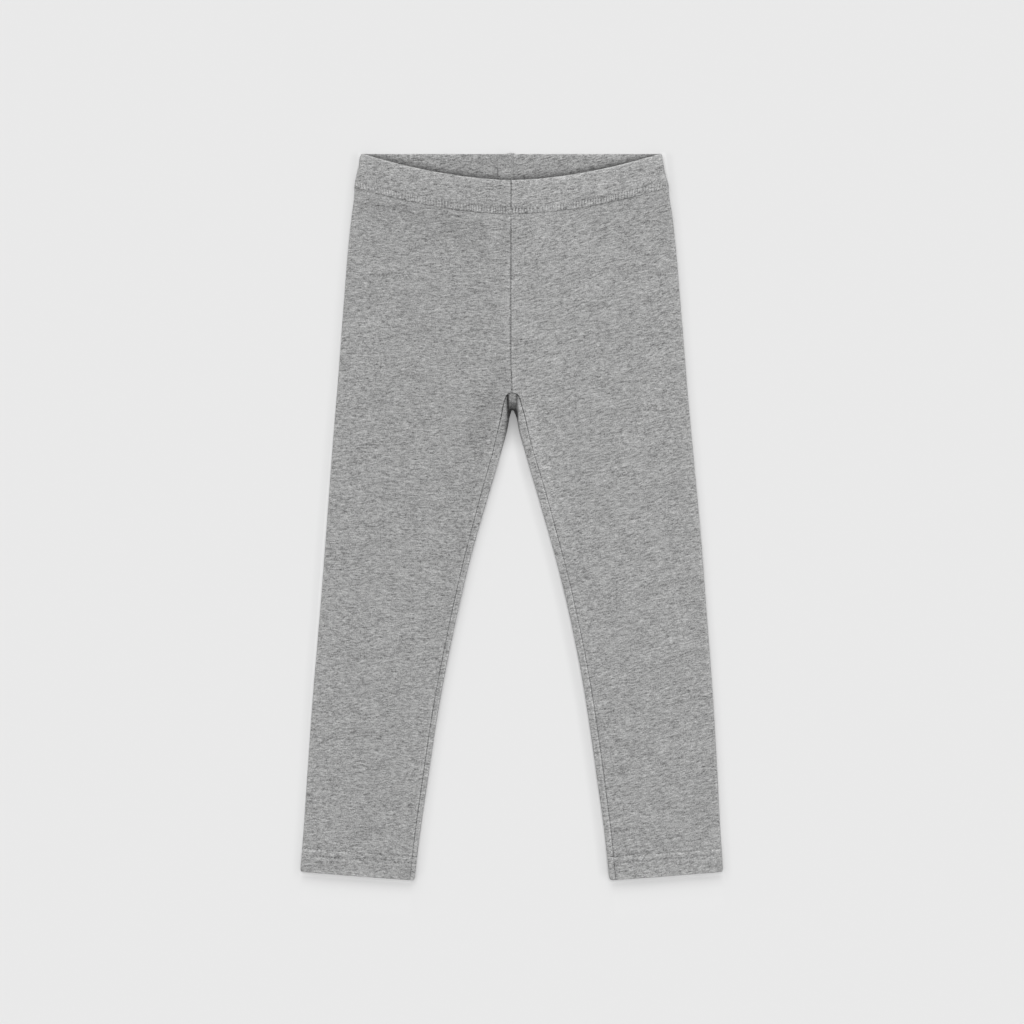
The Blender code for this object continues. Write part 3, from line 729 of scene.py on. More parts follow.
def leg_depth(side, grid, edges, on_top, end_sewn):
    """Depth of the outer face below the grid, for the seams, puckers and crinkles."""
    first, end, top, bottom = edges
    upward = ease(-grid[..., 5])
    turned = shoulder(first, 0.34 * MM * (1.0 if side == RIGHT else 0.6))
    turned = turned + shoulder(end, 0.26 * MM) * end_sewn
    turned = turned + shoulder(top, 0.20 * MM) + shoulder(bottom, 0.05 * MM)
    ridge = 0.20 * MM * near(end - 1.3 * MM, 0.8) * on_top * end_sewn
    beside_centre = 0.10 * MM if side == LEFT else -0.05 * MM
    above_crotch = 1 - past(grid[..., 1], 180, 12)
    ridge = ridge + beside_centre * near(first - 0.9 * MM, 0.9) * above_crotch
    relief = (pucker_height(side, grid, on_top) + crinkle_height(side, grid)) * upward
    relief = relief * ease(np.minimum(bottom, top) / (2 * MM)) * ease((first + 0.6 * MM) / (2 * MM))
    uneven = ease(0.5 + 0.9 * noise(side * grid[..., 0] / MM / 8, 0, 15))
    above_hem = 0.12 * near(bottom - 1.3 * MM, 1.4) * uneven
    relief = relief + MM * above_hem * on_top * past(first, 2, 6)
    return turned - relief - ridge * upward


def waist_seam_fade(out):
    """The seam below the band shows less towards the side."""
    return 1 - 0.6 * past(out, 96, 20)


def leg_paint(side, grid, edges, on_top, end_sewn):
    first, end, top, bottom = edges
    out, drop = grid[..., 0], grid[..., 1]
    front_drop = grid[:, :1, 1]
    at_arch = near(front_drop - 193 * MM, 5.5 if side == RIGHT else 3.6)
    front_dark = 0.56 + 0.02 * past(front_drop, 196, 12) + 0.38 * at_arch
    dark = front_dark * near(first, 0.40) + 0.5 * at_arch * (near(first, 0.85) - near(first, 0.40))
    dark = np.maximum(dark, 0.56 * end_sewn * near(end, 0.34))
    dark = np.maximum(dark, 0.42 * near(top, 0.42) * waist_seam_fade(out))
    pull = np.maximum(fading(first, 2.6), end_sewn * fading(end, 2.6))
    across = fading(np.minimum(top, bottom), 2.2)
    run = np.where(across > pull, out * 0.9, drop + 0.8 * np.minimum(first, end)) / STITCH
    below_crotch = past(drop, 194, 5)
    above, below, at_end = (0.11, 0.14, 0.12) if side == RIGHT else (0.10, 0.00, 0.27)
    # painted light on the ridges beside the seams
    pale = mix(above, below, below_crotch) * near(first - 1.15 * MM, 0.75)
    pale = pale + at_end * below_crotch * near(end - 1.2 * MM, 0.85)
    shade = (1 + pale * on_top) * (1 + edge_painted_light(side, grid)) * fold_painted_light_and_shade(side, grid, on_top)
    pull = np.maximum(pull, 0.7 * across)
    return paint(drop.shape, shade * side_painted_light(side, drop), dark, pull, run)


def leg_cloth(name, side, finish):
    grid = leg_grid(side)
    edges = distances(grid)
    on_top = ease((-grid[..., 5] - 0.2) / 0.5)
    rolled = np.arange(grid.shape[1]) >= grid.shape[1] - TURN_CELLS - 1 - len(STRIP_PLACES)
    end_out, end_drop, end_height = (grid[:, -1:, k] for k in range(3))
    end_sewn = 1 - (end_out < 2 * MM) * (end_height > 0.5 * MM) * past(end_drop, 188, 2)
    hollow, hollow_shade = crotch_hollow(side, grid, on_top, rolled)
    depth = leg_depth(side, grid, edges, on_top, end_sewn) + hollow
    painted = leg_paint(side, grid, edges, on_top, end_sewn)
    painted[..., 0] *= hollow_shade
    outer_grid = grid.copy()
    outer_grid[..., :2] += grid[..., 6:]
    outer = placed(side, outer_grid, np.clip(depth, None, 0.9 * CLOTH))
    return cloth_shell(name, side, outer, placed(side, grid, CLOTH), painted, finish)


# Hems
HEM_FRONT_CELLS, HEM_BACK_CELLS, HEM_STRIP_CELLS, HEM_FACE_CELLS = 320, 90, 16, (64, 8)
NEEDLE_LIFTS = (13.75 * MM, 19.05 * MM)  # of the twin rows, above the hem's edge
HEM_PITCH = 2.55 * MM
HEM_STITCH_SEED, COVER_STITCH_SEED = 37, 71
# How much tighter each row is sewn at the sides, how deep the painted shade in its holes is, and
# how strong and wide the painted light on the puffed band of cloth below it is.
HEM_ROW_LOOKS = (0.0, 0.4), (0.72, 0.55), (0.10, 0.21), (0.95, 1.15)


def hem_row(lift):
    """Spots of a hem from the inseam round the leg and back to the inseam, (n, 6)."""
    side_drop, inner_drop = hem_line(lift)
    eased = HEM_CORNER * math.exp(-lift / HEM_CORNER)
    side_out, inner_out = outer_edge(side_drop) - eased, inner_edge(inner_drop) + eased
    slant = (inner_drop - side_drop) / (side_out - inner_out)
    seam_out = inseam(inner_drop)
    radius = HEM_HEIGHT / 2

    def drop_at(out, on_front=None):  # the same on the front and the back
        return side_drop + (side_out - out) * slant

    def top(out):
        height = HEM_HEIGHT + hem_dome(out, drop_at(out))
        return stacked(out, drop_at(out), height, 0, 0, -1)

    back = np.linspace(side_out - radius, inner_out + radius, HEM_BACK_CELLS + 1)
    fold = Fold(inner_out / MM, 0.0, 0.0, HEM_HEIGHT / MM)
    inner = fold_spots(fold, np.arange(1, FOLD_CELLS + 1) / FOLD_CELLS)[:, :6]
    inner[:, 1] = drop_at(inner[:, 0])
    return np.concatenate([
        top(np.linspace(seam_out + SEAM / 6, side_out - radius, HEM_FRONT_CELLS + 1)),
        side_fold(side_out, radius, drop_at),
        stacked(back, drop_at(back), 0, 0, 0, 1),
        inner,
        top(np.linspace(inner_out + radius, seam_out - SEAM / 6, HEM_STRIP_CELLS + 1)[1:]),
    ])


def stitch_phase(run, pitch, seed):
    """Stitches passed along a row of them, which are a little uneven."""
    return (run + 0.9 * MM * noise(run / (7 * MM), seed, seed)) / pitch


def needle_holes(along_hem):
    """1 at each needle hole of a row of stitches and 0 between them."""
    phase = stitch_phase(along_hem, HEM_PITCH, HEM_STITCH_SEED)
    return near(np.abs((phase + 0.5) % 1 - 0.5) * HEM_PITCH, 0.55)


def sewing_strength(x, seed):
    """How tight the stitches lie, 0.3 to 1, weaker in places."""
    return 0.3 + 0.7 * ease(0.55 + 0.75 * noise(x / (11 * MM), seed, seed))


def hem_strength(x, needle):
    return sewing_strength(x + needle * 3, 35)


def hem_relief(side, grid, lift, first):
    """Puffs between the stitches, the furrows of the needles and a soft roll at the edge."""
    x = side * grid[..., 0]
    holes = needle_holes(first)
    relief = 0.08 * near(lift - np.mean(NEEDLE_LIFTS), 1.7) + 0.14 * near(lift - 6.5 * MM, 5)
    for needle in NEEDLE_LIFTS:
        tight = hem_strength(x, needle)
        furrow = near(lift - needle, 0.5) * (0.2 + 0.8 * holes)
        puff = (1 - 0.6 * holes) * near(lift - needle + 1.5 * MM, 0.95)
        relief = relief + (0.22 * puff - 0.24 * furrow) * tight
    relief = relief + 0.13 * lumps(x, lift, 7.5, 4.5, 31) + 0.07 * lumps(x, lift, 3.3, 2.6, 32)
    relief = relief + 0.12 * lumps(x, lift, 4.6, 9, 33) * near(lift - 16 * MM, 5)
    return MM * (relief + 0.12 * past(lift, 11, 2) * lumps(x, lift, 1.25, 0.95, 34))


def hem_paint(side, grid, lift, first, end, outward):
    x = side * grid[..., 0]
    holes = needle_holes(first)
    shade = np.full(grid.shape[:2], 0.97 if side == RIGHT else 1.0)
    # painted shade in the needle holes and painted light on the puffed cloth below each row
    for needle, tighter, dark, pale, width in zip(NEEDLE_LIFTS, *HEM_ROW_LOOKS):
        tight = np.minimum(1, hem_strength(x, needle) + tighter * past(np.abs(x), 118, 8))
        shade = shade - dark * tight * (0.12 + 0.88 * holes) * near(lift - needle, 0.5) * outward
        beside = near(lift - needle + 1.75 * MM, width) * outward
        shade = shade + pale * (0.5 + 0.5 * tight) * beside
    dots = lumps(x, lift, 1.2, 0.9, 36) * near(lift - 17.4 * MM, 4.6)
    upward = 1 - ease(grid[..., 5] * 3)
    # painted light along the hem's lower edge
    edge = (0.10 * near(lift - MM, 3.2) + 0.08 * near(lift, 1.0)) * upward
    shade = shade + (0.26 * dots + edge) * outward
    from_seam = np.minimum(first, end)
    dark = 0.5 * np.maximum(near(first, 0.40), near(end, 0.36))
    across = (0.04 + 0.5 * near(from_seam, 11)) * near(HEM_DEPTH - lift, 0.4)
    dark = np.maximum(dark, across) * outward
    # painted light on the ridge beside the seam
    at_first, at_end = (0.05, 0.0) if side == RIGHT else (0.0, 0.11)
    pale = at_first * near(first - 1.15 * MM, 0.75) + at_end * near(end - 1.2 * MM, 0.85)
    shade = shade * (1 + pale * upward * outward) * (1 + edge_painted_light(side, grid) * outward)
    shade = shade * fold_painted_light_and_shade(side, grid, outward * upward) * side_painted_light(side, grid[..., 1])
    run = np.where(HEM_DEPTH - lift < from_seam, first / HEM_PITCH + 0.25, lift / STITCH)
    return paint(grid.shape[:2], shade, dark, fading(from_seam, 2.2) * outward, run)


SEWN_EDGE = 0.09 * MM  # how far a sewn edge is rounded
NOSE_CELLS = 10


def section(depth, thickness, folded, cells):
    """Outline of a band's section as (place across the band, depth into the cloth), each 0 to 1,
    from the upper edge down the outer face and up the inner one.  folded says whether the upper
    and the lower edge are folds or sewn, cells how many cells the outer and the inner face have."""
    nose = thickness / 2 / depth

    def edge(fold):
        if fold:
            angle = np.linspace(0, math.pi, NOSE_CELLS + 1)
            return [(nose * (1 - math.sin(a)), (1 - math.cos(a)) / 2) for a in angle]
        across, into = SEWN_EDGE / depth, SEWN_EDGE / thickness
        return [(across, 0.0), (0.3 * across, 0.3 * into), (0.0, into), (0.0, 0.8), (across, 1.0)]

    def face(start, end, count, into):
        return [(mix(start, end, k / count), into) for k in range(1, count)]

    low = [(1 - across, into) for across, into in edge(folded[1])]
    high = edge(folded[0])[::-1]
    outside = face(high[-1][0], low[0][0], cells[0], 0.0)
    inside = face(low[-1][0], high[0][0], cells[1], 1.0)
    return np.array(high + outside + low + inside)


def wrapped(row, depth, thickness, folded, cells):
    """Grid of rows that run round a band's section.  Also each row's depth into the cloth, 0 to 1,
    and its height above the band's lower edge, both as columns."""
    outline = section(depth, thickness, folded, cells)
    into, lift = outline[:, 1:], (1 - outline[:, :1]) * depth
    return np.array([row(height) for height in lift[:, 0]]), into, lift


def band_object(name, side, grid, depth, painted, finish):
    """Closed band from a grid whose rows run round its section."""
    points = placed(side, grid, depth)
    rows, columns = grid.shape[:2]
    quads = facing_out(side, grid_quads(rows, columns, around=True)).tolist()
    starts = np.arange(rows) * columns
    ends = starts + columns - 1
    caps = [starts.tolist(), ends[::-1].tolist()]
    if side == LEFT:
        caps = [cap[::-1] for cap in caps]
    return mesh_object(name, points.reshape(-1, 3), quads + caps, finish, painted)


def hem_cloth(name, side, finish):
    grid, into, lift = wrapped(hem_row, HEM_DEPTH, HEM_CLOTH, (False, True), HEM_FACE_CELLS)
    first, end, _, _ = distances(grid)
    outward = (into < 0.5).astype(float)
    upward = ease(-grid[..., 5])
    # The needles' furrows show in the face that rests on the ground too.
    below = -0.32 * MM * ease(grid[..., 5]) * sum(near(lift - n, 0.5) for n in NEEDLE_LIFTS)
    relief = (hem_relief(side, grid, lift, first) * upward + below) * outward
    turned = (shoulder(first, 0.34 * MM) + shoulder(end, 0.26 * MM)) * (1 - into)
    ridge = 0.14 * MM * near(end - 1.2 * MM, 0.8) * outward * upward
    depth = HEM_CLOTH * into + turned - relief - ridge
    painted = hem_paint(side, grid, lift, first, end, outward)
    return band_object(name, side, grid, depth, painted, finish)


# Waistband
BAND_FRONT_CELLS, BAND_BACK_CELLS, BAND_FOLD_CELLS, BAND_FACE_CELLS = 300, 150, 16, (60, 24)
COVER_LOW, COVER_HIGH = 0.6 * MM, 5.2 * MM  # of the cover stitch, above the band's lower seam
COVER_PITCH = 2.15 * MM
BAND_STITCH = 2.7 * MM  # of the seam below the band
SEAM_STAND = 0.8 * MM  # of the centre back seam above the waist's edge

# Puckers of the band, as in CREASES, with the distance above the lower seam for drop.
BAND_PUCKERS = {
    RIGHT: [
        (40.8, 20.5, 90, 13, 2.6, 0.32), (43.4, 20.5, 90, 12, 2.2, -0.24),
        (102.8, 21.0, 84, 8, 2.2, -0.65), (77.0, 8.5, 70, 9, 3.0, 0.26),
        (12.0, 15.0, 96, 14, 3.2, -0.20), (62.0, 16.0, 100, 12, 3.0, 0.22),
        (92.0, 12.0, 80, 10, 3.0, 0.22),
    ],
    LEFT: [
        (58.4, 22.0, 90, 10, 2.4, 0.32), (73.6, 23.0, 94, 9, 2.6, 0.30),
        (64.0, 13.5, 90, 6, 2.4, 0.34), (24.0, 17.0, 84, 13, 3.0, -0.22),
        (41.0, 12.0, 98, 12, 3.0, 0.20), (96.0, 14.0, 86, 12, 3.2, -0.26),
        (108.0, 9.0, 78, 9, 2.8, 0.24),
    ],
}


def band_row(lift):
    """Spots of half the waistband from the centre front to the centre back, (n, 6)."""
    drop = BAND_DEPTH - lift
    side_out = along(BAND_SIDE, drop)
    radius = BAND_SIDE_HEIGHT / 2

    def drop_at(out, on_front):
        return drop + on_front * front_dip(out, side_out)

    out = front_outs(SEAM / 6, side_out - radius, BAND_FRONT_CELLS)
    rise = (BAND_FRONT_HEIGHT - BAND_SIDE_HEIGHT) * (1 - (out / (side_out - radius)) ** 2)
    back = front_outs(SEAM / 6, side_out - radius, BAND_BACK_CELLS)[::-1]
    thick_seam = SEAM_STAND * np.exp(-((back / (3.4 * MM)) ** 4) - drop / (4 * MM))
    return np.concatenate([
        stacked(out, drop_at(out, 1.0), BAND_SIDE_HEIGHT + rise, 0, 0, -1),
        side_fold(side_out, radius, drop_at, BAND_FOLD_CELLS),
        stacked(back, drop - thick_seam, 0, 0, 0, 1),
    ])


def cover_phase(out):
    return stitch_phase(out, COVER_PITCH, COVER_STITCH_SEED)


def cover_strength(x):
    return 0.4 + 0.6 * sewing_strength(x, 47) * (1 - 0.55 * past(np.abs(x), 85, 33))


def band_relief(side, grid, lift):
    """Gathers that the elastic draws, and the ribs of the cover stitch."""
    out = grid[..., 0]
    x = side * out
    in_cover = ease((lift - COVER_LOW) / MM) * ease((COVER_HIGH - lift) / MM)
    ribs = -np.cos(2 * math.pi * cover_phase(out)) * in_cover
    seat = near(lift - COVER_LOW, 0.5) + near(lift - COVER_HIGH, 0.5)
    sewn = (0.15 * ribs - 0.16 * seat) * cover_strength(x)
    gathers = lumps(x, lift, 4.3, 16, 42) * 0.6 + lumps(x, lift, 2.4, 10, 43) * 0.5
    fine = 0.12 * lumps(x, lift, 9, 5, 44) + 0.09 * lumps(x, lift, 3.2, 2.4, 45)
    dotted = 0.09 * lumps(x, lift, 1.15, 0.9, 46) * ease((7 * MM - lift) / (2 * MM))
    swell = 0.3 * ease((lift - COVER_HIGH) / (4 * MM)) * ease((BAND_DEPTH - lift) / (7 * MM))
    puckers = crease_height(side, out, np.broadcast_to(lift, out.shape), BAND_PUCKERS) / MM
    return MM * (0.29 * gathers + fine + dotted + sewn + swell + puckers)


def band_paint(side, grid, lift, into, first, end):
    out, drop = grid[..., 0], grid[..., 1]
    x = side * out
    outside = 1 - into
    tight = cover_strength(x)
    # ribs paler where the thread lies, painted shade between them and in the needle holes, painted
    # light on the swell above the lower seam
    from_rib = np.abs(cover_phase(out) % 1 - 0.5) * COVER_PITCH
    in_cover = ease((lift - COVER_LOW + 0.4 * MM) / MM) * ease((COVER_HIGH - lift) / MM)
    between_ribs = near(from_rib - COVER_PITCH / 2, 0.5)
    ribs = tight * in_cover * (0.28 * near(from_rib, 0.5) - 0.42 * between_ribs)
    holes = 0.36 * tight * near(lift - COVER_HIGH, 0.5) * (0.3 + 0.7 * between_ribs)
    dots = 0.19 * lumps(x, lift, 1.15, 0.85, 48) * near(lift - 3 * MM, 3.4)
    streaks = 0.05 * lumps(x, lift, 1.5, 6, 49)
    shade = 1 + outside * (ribs - holes + dots + streaks + 0.06 * near(lift - 2.6 * MM, 1.7))
    # painted highlight along the fold at the band's upper edge
    from_fold = BAND_DEPTH - lift
    shade = shade * (1 + 0.14 * near(from_fold, 1.0) + 0.12 * near(from_fold - 2 * MM, 2.2))
    # painted shade inside the waist's mouth, deepest next to the front's edge
    side_out = along(BAND_SIDE, drop)
    into_mouth = front_dip(out, side_out) - drop
    in_mouth = into * (grid[..., 5] > 0.5)
    shade = shade * (1 - in_mouth * (0.12 + 0.52 * (1 - past(into_mouth, -0.5, 7.5))))
    # painted light on the rim of the wearer's left side and on the ridge beside the centre front
    # seam
    rim = (0.12 if side == LEFT else 0.0) * near(side_out - out, 1.9) * (grid[..., 5] < 0)
    shade = shade * (1 + 0.09 * outside * near(first - 1.3 * MM, 0.9)) * (1 + rim * outside)
    dark = 0.70 * np.maximum(near(first, 0.47), near(end, 0.45))
    dark = np.maximum(dark, 0.56 * near(lift, 0.45) * waist_seam_fade(out) * outside)
    from_seam = np.minimum(first, end)
    run = np.where(lift < from_seam, out / BAND_STITCH, lift / STITCH)
    shade = shade * side_painted_light(side, drop)
    return paint(grid.shape[:2], shade, dark, fading(from_seam, 2.0) * outside, run)


def waistband_cloth(name, side, finish):
    grid, into, lift = wrapped(band_row, BAND_DEPTH, BAND_CLOTH, (True, False), BAND_FACE_CELLS)
    first, end, _, _ = distances(grid)
    x = side * grid[..., 0]
    inside = 0.16 * lumps(x, lift, 5.1, 20, 51) + 0.10 * lumps(x, lift, 2.6, 9, 52)
    inside = MM * (inside + 0.08 * lumps(x, lift, 6, 3, 53))
    relief = band_relief(side, grid, lift) * (1 - into) * ease(-grid[..., 5])
    relief = relief - inside * into * ease(grid[..., 5])
    turned = (shoulder(first, 0.4 * MM) + shoulder(end, 0.4 * MM)) * (1 - 2 * into)
    depth = BAND_CLOTH * into + turned - relief
    painted = band_paint(side, grid, lift, into, first, end)
    return band_object(name, side, grid, depth, painted, finish)


ALLOWANCE_FROM, ALLOWANCE_TO = -11.6 * MM, 1.2 * MM
ALLOWANCE_CLOTH = 1.0 * MM
ALLOWANCE_INSET = 0.5 * MM
ALLOWANCE_CELLS = 40, 80


def allowance_cloth(name, finish):
    """The centre back seam's allowance, a soft flat strip inside the waistband."""
    across, down = ALLOWANCE_CELLS
    low = BAND_CLOTH + 0.1 * MM
    top, bottom = LENGTH / 2 - ALLOWANCE_INSET, LENGTH / 2 - BAND_DEPTH + ALLOWANCE_INSET
    x = np.linspace(ALLOWANCE_FROM, ALLOWANCE_TO, across + 1)[None, :]
    y = np.linspace(top, bottom, down + 1)[:, None]
    from_sides = np.minimum(x - ALLOWANCE_FROM, ALLOWANCE_TO - x)
    rim = np.minimum(from_sides, np.minimum(top - y, y - bottom))
    at_seam = past(x, -4.5, 5)
    soft = shoulder(rim, 0.75 * MM) * (1 - at_seam)
    wave = 0.12 * lumps(x, y, 4, 9, 61) + 0.06 * lumps(x, y, 2, 3, 62)
    groove = 0.25 * near(x - ALLOWANCE_FROM - 2.2 * MM, 0.5)
    thinner = 0.82 * ALLOWANCE_CLOTH * at_seam
    z = low + ALLOWANCE_CLOTH - soft - thinner + MM * (wave - groove) * ease(rim / MM)
    wiggle = 0.25 * MM * noise(y / MM / 3.1, 0, 63)
    x, y, z = np.broadcast_arrays(x + wiggle * ease((ALLOWANCE_TO - x) / (8 * MM)), y, z)
    outer = np.stack([x, y, z], axis=-1)[:, ::-1]
    inner = np.stack([x, y, np.full(z.shape, low)], axis=-1)[:, ::-1]
    # darker all over, with painted shade where it lies in the waist's mouth and along its edge
    above_mouth = outer[..., 1] - (LENGTH / 2 - BAND_DIP)
    shade = 0.93 - 0.40 * (1 - past(above_mouth, -0.5, 6.5))
    edge_painted_shade = near(outer[..., 0] - ALLOWANCE_FROM, 0.9) * (1 - past(above_mouth, 6, 6))
    painted = paint(z.shape, shade * (1 - 0.45 * edge_painted_shade))
    return cloth_shell(name, RIGHT, outer, inner, painted, finish)


# Thread
HEM_THREAD, COVER_THREAD = 0.20 * MM, 0.24 * MM  # radii
THREAD_SIDES = 6
STITCH_RINGS = 7


def thread_object(name, centres, ups, thickness, finish):
    """Stitches as tubes.  centres is (stitches, rings, 3) and ups (stitches, 3)."""
    count, rings = centres.shape[:2]
    tangent = np.gradient(centres, axis=1)
    tangent /= np.linalg.norm(tangent, axis=2, keepdims=True)
    beside = np.cross(tangent, ups[:, None, :])
    beside /= np.linalg.norm(beside, axis=2, keepdims=True)
    above = np.cross(beside, tangent)
    radius = thickness * np.interp(np.linspace(0, 1, rings), (0, 0.15, 0.85, 1), (0.6, 1, 1, 0.6))
    angle = 2 * math.pi * np.arange(THREAD_SIDES) / THREAD_SIDES
    ring = np.cos(angle)[:, None] * beside[:, :, None] + np.sin(angle)[:, None] * above[:, :, None]
    points = centres[:, :, None] + ring * radius[None, :, None, None]
    start = (np.arange(count) * rings * THREAD_SIDES)[:, None, None]
    r, s = np.arange(rings - 1)[None, :, None], np.arange(THREAD_SIDES)[None, None, :]
    here, turn = start + r * THREAD_SIDES, (s + 1) % THREAD_SIDES
    after = here + THREAD_SIDES
    quads = np.stack([here + s, after + s, after + turn, here + turn], axis=-1)
    first = start[:, 0] + np.arange(THREAD_SIDES)
    last = first + (rings - 1) * THREAD_SIDES
    faces = quads.reshape(-1, 4).tolist() + first.tolist() + last[:, ::-1].tolist()
    return mesh_object(name, points.reshape(-1, 3), faces, finish)


def sunk_ends(depth):
    """How deep each ring of a stitch lies, whose ends go down into the cloth."""
    return depth * np.abs(np.linspace(-1, 1, STITCH_RINGS)) ** 3


def stitch_places(path, pitch, seed):
    """Numbers of the path's points, as fractions, at the needle holes along it."""
    steps = np.linalg.norm(np.diff(path, axis=0), axis=1)
    phase = stitch_phase(np.concatenate([[0], np.cumsum(steps)]), pitch, seed)
    return np.interp(np.arange(math.ceil(phase[0]), phase[-1]), phase, np.arange(len(path)))


def read(path, at):
    i = np.clip(np.floor(at).astype(int), 0, len(path) - 2)
    return mix(path[i], path[i + 1], (at - i)[..., None])


def world_path(side, row, depth):
    """World points and outward directions of a row of spots."""
    return placed(side, row[None], depth)[0], -row[:, 3:] * np.array([side, -1, 1])


def hem_thread(name, side, finish):
    centres, ups = [], []
    for lift in NEEDLE_LIFTS:
        points, outward = world_path(side, hem_row(lift), 0.12 * MM)
        steps = stitch_places(points, HEM_PITCH, HEM_STITCH_SEED)
        at = steps[:-1, None] + np.diff(steps)[:, None] * np.linspace(0.10, 0.86, STITCH_RINGS)
        up = read(outward, at)
        centres.append(read(points, at) - up * sunk_ends(0.42 * MM)[:, None])
        ups.append(up[:, STITCH_RINGS // 2])
    return thread_object(name, np.concatenate(centres), np.concatenate(ups), HEM_THREAD, finish)


def spots_at(row, outs):
    """Numbers of a row's spots, as fractions, at distances from the centre, on front and back."""
    widest, numbers = int(np.argmax(row[:, 0])), np.arange(len(row))
    faces = slice(None, widest), slice(None, widest, -1)
    return np.concatenate([np.interp(outs, row[face, 0], numbers[face]) for face in faces])


def cover_thread(name, side, finish):
    """The bars of the cover stitch, between its two rows of needle holes."""
    low_row, high_row = band_row(COVER_LOW), band_row(COVER_HIGH)
    low, outward = world_path(side, low_row, 0.1 * MM)
    high, _ = world_path(side, high_row, 0.1 * MM)
    fine = np.linspace(0, low_row[:, 0].max() - 3 * MM, 1200)  # up to the fold at the side
    phase = cover_phase(fine)
    outs = np.interp(np.arange(math.ceil(phase[0]) + 0.5, phase[-1]), phase, fine)
    starts, ends = spots_at(low_row, outs), spots_at(high_row, outs + 0.25 * COVER_PITCH)
    loose = 1 - cover_strength(side * np.concatenate([outs, outs]))
    up = read(outward, starts)
    rings = np.linspace(0.02, 0.98, STITCH_RINGS)[:, None]
    centres = mix(read(low, starts)[:, None], read(high, ends)[:, None], rings)
    rise = 0.06 * MM - 0.30 * MM * loose[:, None] - sunk_ends(0.40 * MM)
    return thread_object(name, centres + up[:, None] * rise[..., None], up, COVER_THREAD, finish)


# Materials
WALE, COURSE = 0.66 * MM, 0.5 * MM
SLANT, LEFT_SLANT = -0.04, -0.18  # of the streaks, and what the wearer's left adds to it
LEFT_PANEL_SHIFT = 37 * MM  # so that the streaks don't run on across the centre seam
DARKEST = 0.008
CURVE_SPAN = 200  # millimetres that a float curve's 1 stands for


class Nodes:
    """Builds a material.  The inputs of each node are set or linked by name or number."""

    def __init__(self, name):
        self.material = bpy.data.materials.new(name)
        self.material.use_nodes = True
        self.tree = self.material.node_tree
        self.place = self.add("ShaderNodeTexCoord").outputs["Object"]

    def fill(self, node, inputs):
        for key, value in inputs.items():
            if isinstance(value, bpy.types.NodeSocket):
                self.tree.links.new(value, node.inputs[key])
            else:
                node.inputs[key].default_value = value
        return node

    def add(self, kind, inputs=(), **settings):
        made = self.tree.nodes.new(kind)
        for key, value in settings.items():
            setattr(made, key, value)
        return self.fill(made, dict(inputs))

    def math(self, operation, *values):
        return self.add("ShaderNodeMath", enumerate(values), operation=operation).outputs[0]

    def plus(self, a, b):
        return self.math("ADD", a, b)

    def minus(self, a, b):
        return self.math("SUBTRACT", a, b)

    def times(self, a, b):
        return self.math("MULTIPLY", a, b)

    def times_add(self, value, factor, added):
        return self.math("MULTIPLY_ADD", value, factor, added)

    def sine(self, value, length):
        return self.math("SINE", self.times(value, 2 * math.pi / length))

    def parts(self, vector):
        return self.add("ShaderNodeSeparateXYZ", {"Vector": vector}).outputs

    def ramp(self, value, start, end, first, last, kind="SMOOTHSTEP"):
        """From first to last between two places in millimetres."""
        inputs = {"Value": value, "From Min": start * MM, "From Max": end * MM}
        inputs |= {"To Min": first, "To Max": last}
        return self.add("ShaderNodeMapRange", inputs, interpolation_type=kind).outputs[0]

    def table(self, drop, rows):
        """Values of a table of the outline at a drop."""
        made = self.add("ShaderNodeFloatCurve", {"Value": self.math("DIVIDE", drop, LENGTH)})
        curve = made.mapping.curves[0]
        places = [(place * MM / LENGTH, value / CURVE_SPAN) for place, value in rows]
        for point, (place, value) in zip(curve.points, (places[0], places[-1])):
            point.location = (place, value)
        for place, value in places[1:-1]:
            curve.points.new(place, value)
        made.mapping.update()
        return self.times(made.outputs[0], CURVE_SPAN * MM)

    def noise(self, place, size, detail, roughness=0.5, *, seed, shift=None):
        """Noise whose lumps are size (x, y, z) in millimetres, from 0 to 1."""
        scale = tuple(1 / (MM * s) for s in size)
        inputs = {"Vector": place, "Scale": scale, "Location": (seed,) * 3}
        vector = self.add("ShaderNodeMapping", inputs).outputs[0]
        if shift is not None:
            moved = self.add("ShaderNodeCombineXYZ", {"Y": shift}).outputs[0]
            added = self.add("ShaderNodeVectorMath", {0: vector, 1: moved}, operation="ADD")
            vector = added.outputs[0]
        inputs = {"Vector": vector, "Scale": 1.0, "Detail": detail, "Roughness": roughness}
        return self.add("ShaderNodeTexNoise", inputs).outputs[0]

    def bump(self, height, strength, distance):
        inputs = {"Height": height, "Strength": strength, "Distance": distance}
        return self.add("ShaderNodeBump", inputs).outputs[0]

    def finish(self, colour, inputs):
        """The material with a (red, green, blue) colour and other inputs of its shader."""
        mixed = self.add("ShaderNodeCombineColor", zip(("Red", "Green", "Blue"), colour))
        shader = self.tree.nodes["Principled BSDF"]
        self.fill(shader, {"Base Color": mixed.outputs[0], **inputs})
        return self.material


